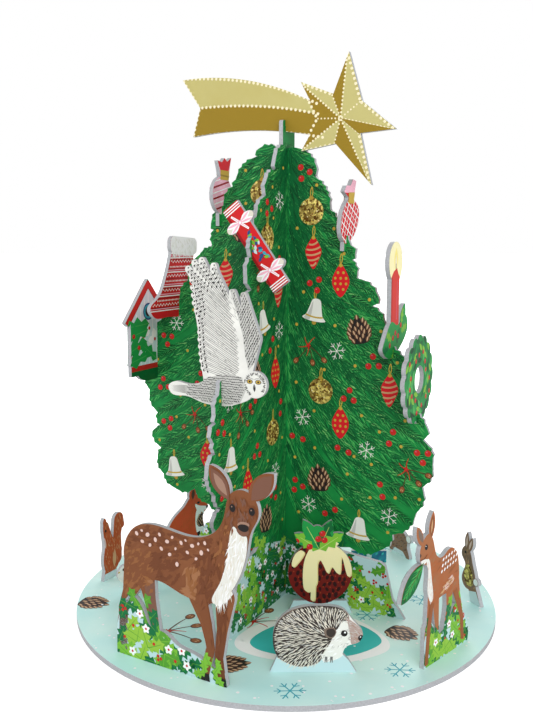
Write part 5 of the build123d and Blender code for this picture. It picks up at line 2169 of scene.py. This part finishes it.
@dataclass
class Pudding(PrintedBoard):
    """A steamed pudding with custard, and holly on top."""

    middle: Point = (-1.2, 20.0)
    radius: float = 15.0

    def paint(self) -> None:
        """Draw the stand, the crumb, the custard and the holly."""
        painter, chance = self.painter, self.painter.chance
        self.ink(Inks.ICE, [(-17.0, -0.4), (-14.0, 6.6), (11.8, 6.6), (14.6, -0.4)])
        self.ink(Inks.PUDDING, dot(self.middle, self.radius + 0.3, 36))
        for row in range(11):
            for column in range(11):
                place = (self.middle[0] + (column - 5) * 3.0 + (row % 2) * 1.5 + chance.uniform(-0.5, 0.5),
                         self.middle[1] + (row - 5) * 2.8 + chance.uniform(-0.5, 0.5))
                if math.dist(place, self.middle) < self.radius - 0.4:
                    turn = 90 + chance.uniform(-40, 40)
                    size = chance.uniform(0.8, 1.15)
                    painter.sheet.draw(Inks.CURRANT, oval(place, (1.3 * size, 0.85 * size), turn, 9), 3)
                    crumb = oval((place[0] + 1.5, place[1] + 1.0), (0.4, 0.3), turn, 6)
                    painter.sheet.draw(Inks.RUST_DARK, crumb, 4)
        self.ink(Inks.PINE, [(-16.0, 34.6), (-16.0, 42.0), (-11.0, 48.0), (6.0, 48.0), (13.0, 41.0),
                             (11.0, 34.0), (2.0, 34.4),
                             (-8.0, 33.0)])
        custard = [(-3.6, 34.6), (-7.6, 29.0), (-9.2, 22.0), (-9.0, 13.0), (-7.2, 10.6), (-5.6, 10.6),
                   (-5.6, 7.0), (-4.6, 6.2),
                   (-3.6, 7.2), (-3.4, 13.0), (-2.6, 16.0), (-2.6, 24.0), (-1.4, 26.4), (0.2, 24.0),
                   (2.4, 19.8),
                   (4.2, 23.0), (6.6, 20.0), (8.2, 20.2), (8.6, 27.6), (9.6, 26.0), (11.6, 18.6),
                   (13.4, 19.6), (13.2, 26.0),
                   (9.6, 32.4), (3.6, 36.2)]
        left = [(-14.6, 24.0), (-13.0, 23.4), (-8.8, 29.4), (-10.6, 31.0), (-13.4, 28.4)]
        # Each custard blob lies on a copy in the darker custard ink, shifted down and right: painted shade
        # under its edge.
        for blob in (custard, left):
            self.ink(Inks.CUSTARD_SHADE, smooth([(u + 0.5, v - 0.4) for u, v in blob], 4))
            self.ink(Inks.CUSTARD, smooth(blob, 4))
        for tip, ink in (((-13.6, 39.2), Inks.LIME), ((-9.6, 46.2), Inks.PINE),
                         ((4.2, 46.0), Inks.PINE_DARK), ((9.8, 39.4), Inks.LIME)):
            self.ink(ink, holly_leaf((-1.6, 31.6), tip, 7.4))
            end = ((tip[0] * 3 - 1.6) / 4, (tip[1] * 3 + 31.6) / 4)
            self.ink(Inks.LIME_PALE, ribbon([(-1.6, 31.6), end], 0.45, 0.4))
        for place in ((0.8, 36.0), (-2.2, 36.6), (-0.2, 39.2), (-6.2, 32.8), (-12.4, 35.4)):
            painter.berry(place, 1.5)


@dataclass
class Fox(PrintedBoard):
    """A sitting fox."""

    def paint(self) -> None:
        """Draw the brush, the bib, the legs and the face."""
        painter = self.painter
        painter.fur((Inks.RUST, Inks.FOX_COAT), [(-9, 0), (-8, 14), (8, 27), (20, 25), (18, 0)], 240, 3.0,
                    120, 0.36)
        self.ink(Inks.SNOW, leaf((-10.0, 8.0), (-16.6, 15.2), 6.0))
        self.ink(Inks.SNOW, smooth([(14.0, 20.4), (19.4, 19.6), (19.0, 10.0), (18.0, 4.0), (14.0, 6.0),
                                    (12.6, 14.0)], 5))
        self.ink(Inks.SOOT, ribbon([(15.0, 7.0), (16.0, -0.4)], 2.4, 0.9))
        self.ink(Inks.SOOT, ribbon([(18.6, 7.0), (19.4, -0.4)], 2.0, 0.9))
        self.ink(Inks.SNOW, smooth([(12.6, 24.0), (16.0, 22.4), (22.0, 20.6), (20.0, 18.8), (14.6, 19.4)], 4))
        self.ink(Inks.BARK, leaf((11.0, 27.0), (11.4, 33.4), 2.6))
        self.ink(Inks.BARK, leaf((15.8, 27.0), (17.4, 32.6), 2.6))
        self.ink(Inks.SOOT, oval((15.2, 24.4), (1.0, 0.7)))
        self.ink(Inks.SOOT, dot((22.0, 20.4), 0.9))
        painter.cone((17.6, 14.0), 8.6, 90)


@dataclass
class Squirrel(PrintedBoard):
    """A squirrel that climbs upright."""

    def paint(self) -> None:
        """Draw the stand, the coat and the pale belly."""
        painter = self.painter
        self.ink(Inks.FROST, [(-8.0, -0.4), (-6.6, 3.6), (2.8, 3.6), (3.6, -0.4)])
        painter.fur((Inks.RUST_DARK, Inks.SAND), [(-8, 3), (-8, 32), (9, 32), (8, 3)], 95, 2.6, 190, 0.3)
        self.ink(Inks.SAND, leaf((1.0, 5.0), (1.6, 15.0), 3.0))
        self.ink(Inks.SOOT, dot((-5.2, 26.6), 0.75))
        self.ink(Inks.BLUSH, leaf((-6.6, 24.0), (-5.4, 17.0), 1.6))


@dataclass
class Thrush(PrintedBoard):
    """A small pale bird with a spotted breast."""

    def paint(self) -> None:
        """Draw the stand, the wing, the spots and the eye."""
        chance = self.painter.chance
        self.ink(Inks.FROST, [(-6.0, -0.4), (-5.0, 4.8), (3.0, 4.8), (5.0, -0.4)])
        self.ink(Inks.MOUSE, leaf((-6.0, 11.6), (12.0, 7.6), 6.4))
        self.ink(Inks.FAWN, leaf((-5.0, 12.6), (7.0, 9.4), 3.0))
        for _ in range(26):
            place = (chance.uniform(-8, 3), chance.uniform(4.8, 9.0))
            self.ink(Inks.SOOT, oval(place, (0.6, 0.45), 0, 6))
        self.ink(Inks.SOOT, dot((-7.6, 13.2), 0.7))
        self.ink(Inks.AMBER, leaf((-9.4, 12.4), (-11.2, 12.0), 1.0, 3))


@dataclass
class BrownHare(PrintedBoard):
    """A hare that looks away, with a white tail."""

    def paint(self) -> None:
        """Draw the coat, the tail and the snow at its feet."""
        self.ink(Inks.FROST, [(-17.0, -0.4), (-14.6, 2.6), (-6.6, 2.6), (-2.6, -0.4)])
        self.painter.fur((Inks.BARK, Inks.FAWN), [(-22, 2), (-21, 10), (-7, 14), (-2, 10), (-3, 3)], 30, 2.6,
                         170, 0.34)
        self.ink(Inks.SNOW, dot((-1.4, 11.4), 2.1, 14))
        self.ink(Inks.BLUSH, leaf((-20.4, 7.4), (-24.4, 12.8), 1.4))
        self.ink(Inks.SOOT, dot((-19.4, 7.0), 0.6))


@dataclass
class GoldHare(PrintedBoard):
    """A hare that sits up, with a gold coat."""

    def paint(self) -> None:
        """Draw the stand, the glitter, the ears and the eye."""
        self.ink(Inks.FROST, [(-8.4, -0.4), (-9.8, 5.0), (-4.4, 6.4), (-0.2, -0.4)])
        self.painter.fur((Inks.MOUSE, Inks.SAND), [(-15, 6), (-16, 26), (-8, 26), (-5, 8)], 260, 2.2, 120,
                         0.32)
        self.ink(Inks.GOLD_GLITTER, smooth([(-12.6, 17.0), (-9.0, 17.6), (-7.0, 12.0), (-7.4, 8.4),
                                            (-11.0, 7.4), (-13.4, 11.0)], 4))
        self.ink(Inks.BLUSH, leaf((-12.5, 26.0), (-12.0, 32.6), 1.4))
        self.ink(Inks.BLUSH, leaf((-10.7, 25.4), (-8.6, 31.0), 1.4))
        self.ink(Inks.SOOT, dot((-13.0, 23.6), 0.7))
        self.ink(Inks.SNOW, dot((-4.8, 11.0), 1.7, 12))


@dataclass
class GiftBox(PrintedBoard):
    """A blue box with a pale ribbon."""

    def paint(self) -> None:
        """Draw the paper's pattern, the ribbon and the bow."""
        for row in range(4):
            for column in range(6):
                place = (-7.4 + column * 3.2 + (row % 2) * 1.6, 2.0 + row * 3.6)
                self.ink(Inks.TEAL, leaf(place, (place[0] + 1.2, place[1] + 1.6), 0.9, 3))
        self.ink(Inks.FROST, ribbon([(0.5, -0.4), (0.5, 15.4)], 2.6))
        self.ink(Inks.FROST, ribbon([(-8.8, 8.0), (9.8, 8.0)], 1.8))
        self.ink(Inks.FROST, leaf((0.5, 14.0), (-6.6, 20.8), 4.2))
        self.ink(Inks.FROST, leaf((0.5, 14.0), (7.6, 20.8), 4.2))
        self.ink(Inks.TEAL, leaf((0.5, 14.6), (-4.6, 18.8), 1.2))
        self.ink(Inks.TEAL, leaf((0.5, 14.6), (5.6, 18.8), 1.2))


# The studio


@dataclass
class Studio:
    """A pale floor, soft lights and the camera."""

    eye: tuple[float, float, float] = (0.1772, -0.3478, 0.1766)
    target: tuple[float, float, float] = (-0.0083, -0.0042, 0.1213)
    lens: float = 55.25
    world_strength: float = 0.56
    middle: tuple[float, float, float] = (0.0, 0.0, 0.12)
    lamps: tuple[tuple[str, tuple[float, float, float], float, float], ...] = (
        ("key", (0.8, -1.15, 0.75), 0.9, 10.8),
        ("fill", (1.2, -0.4, 0.6), 0.8, 1.8),
        ("side", (-1.1, -0.4, 0.6), 0.8, 3.6),
        ("back", (-0.3, 1.2, 0.8), 0.8, 6.0),
    )

    def build(self) -> None:
        """Set up the floor, the lights and the camera."""
        self._floor()
        self._world()
        for lamp in self.lamps:
            self._lamp(*lamp)
        self._camera()
        bpy.context.scene.view_settings.view_transform = "Standard"

    def _floor(self) -> None:
        """Lay a white floor that only the shadow shows on."""
        steps = 24
        mesh = bpy.data.meshes.new("floor")
        corners, faces = [(0.0, 0.0, 0.0)], []
        for ring, radius in enumerate((0.2, 0.6, 12.0)):
            for step in range(steps):
                turn = 2 * math.pi * step / steps
                corners.append((radius * math.cos(turn), radius * math.sin(turn), 0.0))
                after = (step + 1) % steps
                if ring == 0:
                    faces.append((0, 1 + step, 1 + after))
                else:
                    low, high = 1 + (ring - 1) * steps, 1 + ring * steps
                    faces.append((low + step, high + step, high + after, low + after))
        mesh.from_pydata(corners, [], faces)
        material = new_material("studio_floor")
        fill_tree(
            material.node_tree,
            [
                ("Path", "LightPath"),
                ("Glow", "Math", {"operation": "MULTIPLY"}),
                ("Place", "TexCoord"),
                ("Away", "VectorMath", {"operation": "LENGTH"}),
                ("Far", "MapRange"),
            ],
            [
                (PRINCIPLED, "Base Color", (0.9, 0.9, 0.9, 1.0)),
                (PRINCIPLED, "Roughness", 0.9),
                (PRINCIPLED, "Emission Color", (1.0, 1.0, 1.0, 1.0)),
                ("Far", "From Min", 0.11),
                ("Far", "From Max", 0.3),
                ("Far", "To Min", 0.4),
                ("Far", "To Max", 1.0),
            ],
            [
                ("Place", "Object", "Away", 0),
                ("Away", "Value", "Far", "Value"),
                ("Far", "Result", "Glow", 1),
                ("Path", "Is Camera Ray", "Glow", 0),
                ("Glow", "Value", PRINCIPLED, "Emission Strength"),
            ],
        )
        mesh.materials.append(material)
        floor = bpy.data.objects.new("studio_floor", mesh)
        bpy.context.collection.objects.link(floor)

    def _world(self) -> None:
        """Light the scene evenly, and show white behind it."""
        world = bpy.data.worlds.new("studio")
        world.use_nodes = True
        fill_tree(
            world.node_tree,
            [("Path", "LightPath"), ("Seen", "Math", {"operation": "MAXIMUM"}), ("Level", "MapRange")],
            [
                ("Level", "To Min", self.world_strength),
                ("Level", "To Max", 1.0),
                ("Background", "Color", (1.0, 1.0, 1.0, 1.0)),
            ],
            [
                ("Path", "Is Camera Ray", "Seen", 0),
                ("Path", "Is Glossy Ray", "Seen", 1),
                ("Seen", "Value", "Level", "Value"),
                ("Level", "Result", "Background", "Strength"),
            ],
        )
        bpy.context.scene.world = world

    def _lamp(self, name: str, place: tuple[float, float, float], size: float, power: float) -> None:
        """Add a square soft light that points at the tree.

        Args:
            name: Its name.
            place: Where it is.
            size: How wide it is.
            power: Its power in watts.
        """
        lamp = bpy.data.lights.new(name, "AREA")
        lamp.size = size
        lamp.energy = power
        holder = bpy.data.objects.new(name, lamp)
        holder.location = place
        way = Vector(self.middle) - Vector(place)
        holder.rotation_euler = way.to_track_quat("-Z", "Y").to_euler()
        bpy.context.collection.objects.link(holder)

    def _camera(self) -> None:
        """Put the camera where the photograph was taken from."""
        data = bpy.data.cameras.new("camera")
        data.sensor_width = 36.0
        data.sensor_fit = "HORIZONTAL"
        data.lens = self.lens
        data.clip_start = 0.01
        data.clip_end = 20.0
        camera = bpy.data.objects.new("camera", data)
        camera.location = self.eye
        way = Vector(self.target) - Vector(self.eye)
        camera.rotation_euler = way.to_track_quat("-Z", "Y").to_euler()
        bpy.context.collection.objects.link(camera)
        bpy.context.scene.camera = camera


def boards() -> list[PrintedBoard]:
    """Every board of the scene, with where it stands and how it is finished.

    Returns:
        The boards, in the order they are made in.
    """
    side_bank_left = ((0.0, 34.0), (14.0, 36.0), (27.0, 38.0), (46.0, 32.0), (50.6, 24.0), (56.6, 10.0),
                      (63.6, 2.2))
    side_bank_right = ((0.0, 29.0), (14.0, 31.0), (27.6, 32.4), (51.0, 28.8), (53.4, 26.8), (57.2, 11.0),
                       (63.6, 2.2))
    front_bank = ((0.0, 30.0), (16.0, 34.0), (29.0, 37.4), (44.0, 34.6), (47.6, 31.8), (51.0, 18.0),
                  (58.0, 2.2))
    pine_x = BoardFinish("pine_side", Inks.PINE_MID, Inks.PINE, 90.0, 0.8, Ground.TRUNK_X)
    pine_y = BoardFinish("pine_front", Inks.PINE_MID, Inks.PINE, 90.0, 0.8, Ground.TRUNK_Y)
    snow = BoardFinish("snow", Inks.SNOW_BLUE, Inks.SNOW_PALE, 22.0, 1.0)
    gold = BoardFinish("gold", Inks.GOLD_LIGHT, Inks.GOLD_MID, 60.0, 0.8)
    red = BoardFinish("red", Inks.CHERRY, Inks.BERRY, 140.0, 0.7)
    green = BoardFinish("green", Inks.PINE, Inks.PINE_DARK, 160.0, 0.8)
    coat = BoardFinish("coat", Inks.COAT_MID, Inks.COAT_WARM, 60.0, 0.9)
    young = BoardFinish("young_coat", Inks.YOUNG_COAT, Inks.FAWN, 80.0, 0.6)
    rust = BoardFinish("rust", Inks.RUST, Inks.RUST_WARM, 110.0, 0.8)
    fox = BoardFinish("fox", Inks.FOX_COAT, Inks.RUST, 110.0, 0.7)
    hare = BoardFinish("hare", Inks.HARE, Inks.MOUSE, 120.0, 0.7)
    pale = BoardFinish("pale", Inks.DOWN_WHITE, Inks.DOWN_GREY, 90.0, 0.8)
    return [
        BaseDisc("base_disc", Seat(0, 0, BASE_BOARD / 2, 0.0, True), snow, BASE_BOARD, (Side.FRONT,), 3),
        TreePanel("tree_panel_front", Seat(0, 0, 0, 90.0), pine_y, seed=11, bank_left=front_bank,
                  bank_right=front_bank),
        TreePanel("tree_panel_side", Seat(0, 0, 0, 0.0), pine_x, seed=5, bank_left=side_bank_left,
                  bank_right=side_bank_right),
        ShootingStar("shooting_star", Seat(0, -2, 229.4, 0.0), gold),
        PinkSweet("pink_sweet", Seat(-36, 0, 186.6, 90.0),
                  BoardFinish("pink", Inks.PINK, Inks.BLUSH, 200.0, 0.6)),
        CheckSweet("check_sweet", Seat(30, 0, 175.0, 90.0), red),
        Cracker("cracker", Seat(0, -34, 177.0, 0.0), red),
        Stocking("stocking", Seat(-62, 0, 142.0, 90.0), red),
        BirdHouse("bird_house", Seat(-76, 0, 122.0, 90.0), green),
        Owl("owl", Seat(0, -60, 112.6, 0.0), pale),
        Candle("candle", Seat(53.5, 0, 128.0, 90.0), green),
        Wreath("wreath", Seat(65.6, 0, 98.4, 90.0), green),
        Deer("deer", rim_seat(-95.3, 0.867, -2.4), coat, seed=4),
        YoungDeer("young_deer", rim_seat(-15.6, 0.89, 75.0), young),
        Hedgehog("hedgehog", rim_seat(-60.4, 0.747, 28.0), pale),
        Pudding("pudding", Seat(25.7, -11.6, BASE_BOARD, 28.4),
                BoardFinish("pudding", Inks.PUDDING, Inks.CURRANT, 200.0, 0.6)),
        Fox("fox", rim_seat(164.6, 0.814, 75.0), fox),
        Squirrel("squirrel", rim_seat(-163.7, 0.908, 90.0), rust),
        Thrush("thrush", rim_seat(-152.7, 0.727, 60.0), pale),
        BrownHare("brown_hare", rim_seat(59.0, 0.804, -37.0), hare),
        GoldHare("gold_hare", rim_seat(17.6, 0.945, -37.0), hare),
        GiftBox("gift_box", Seat(30, 36, BASE_BOARD, 28.0),
                BoardFinish("gift", Inks.NAVY, Inks.TEAL_DARK, 160.0, 0.7)),
    ]


def main() -> None:
    """Dress every board and set up the studio."""
    logging.basicConfig(level=logging.INFO, format="%(message)s")
    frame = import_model()
    groups = ShaderGroups()
    shelf = InkShelf(groups)
    for board in boards():
        board.make(frame, groups, shelf)
    Studio().build()


if __name__ == "__main__":
    main()
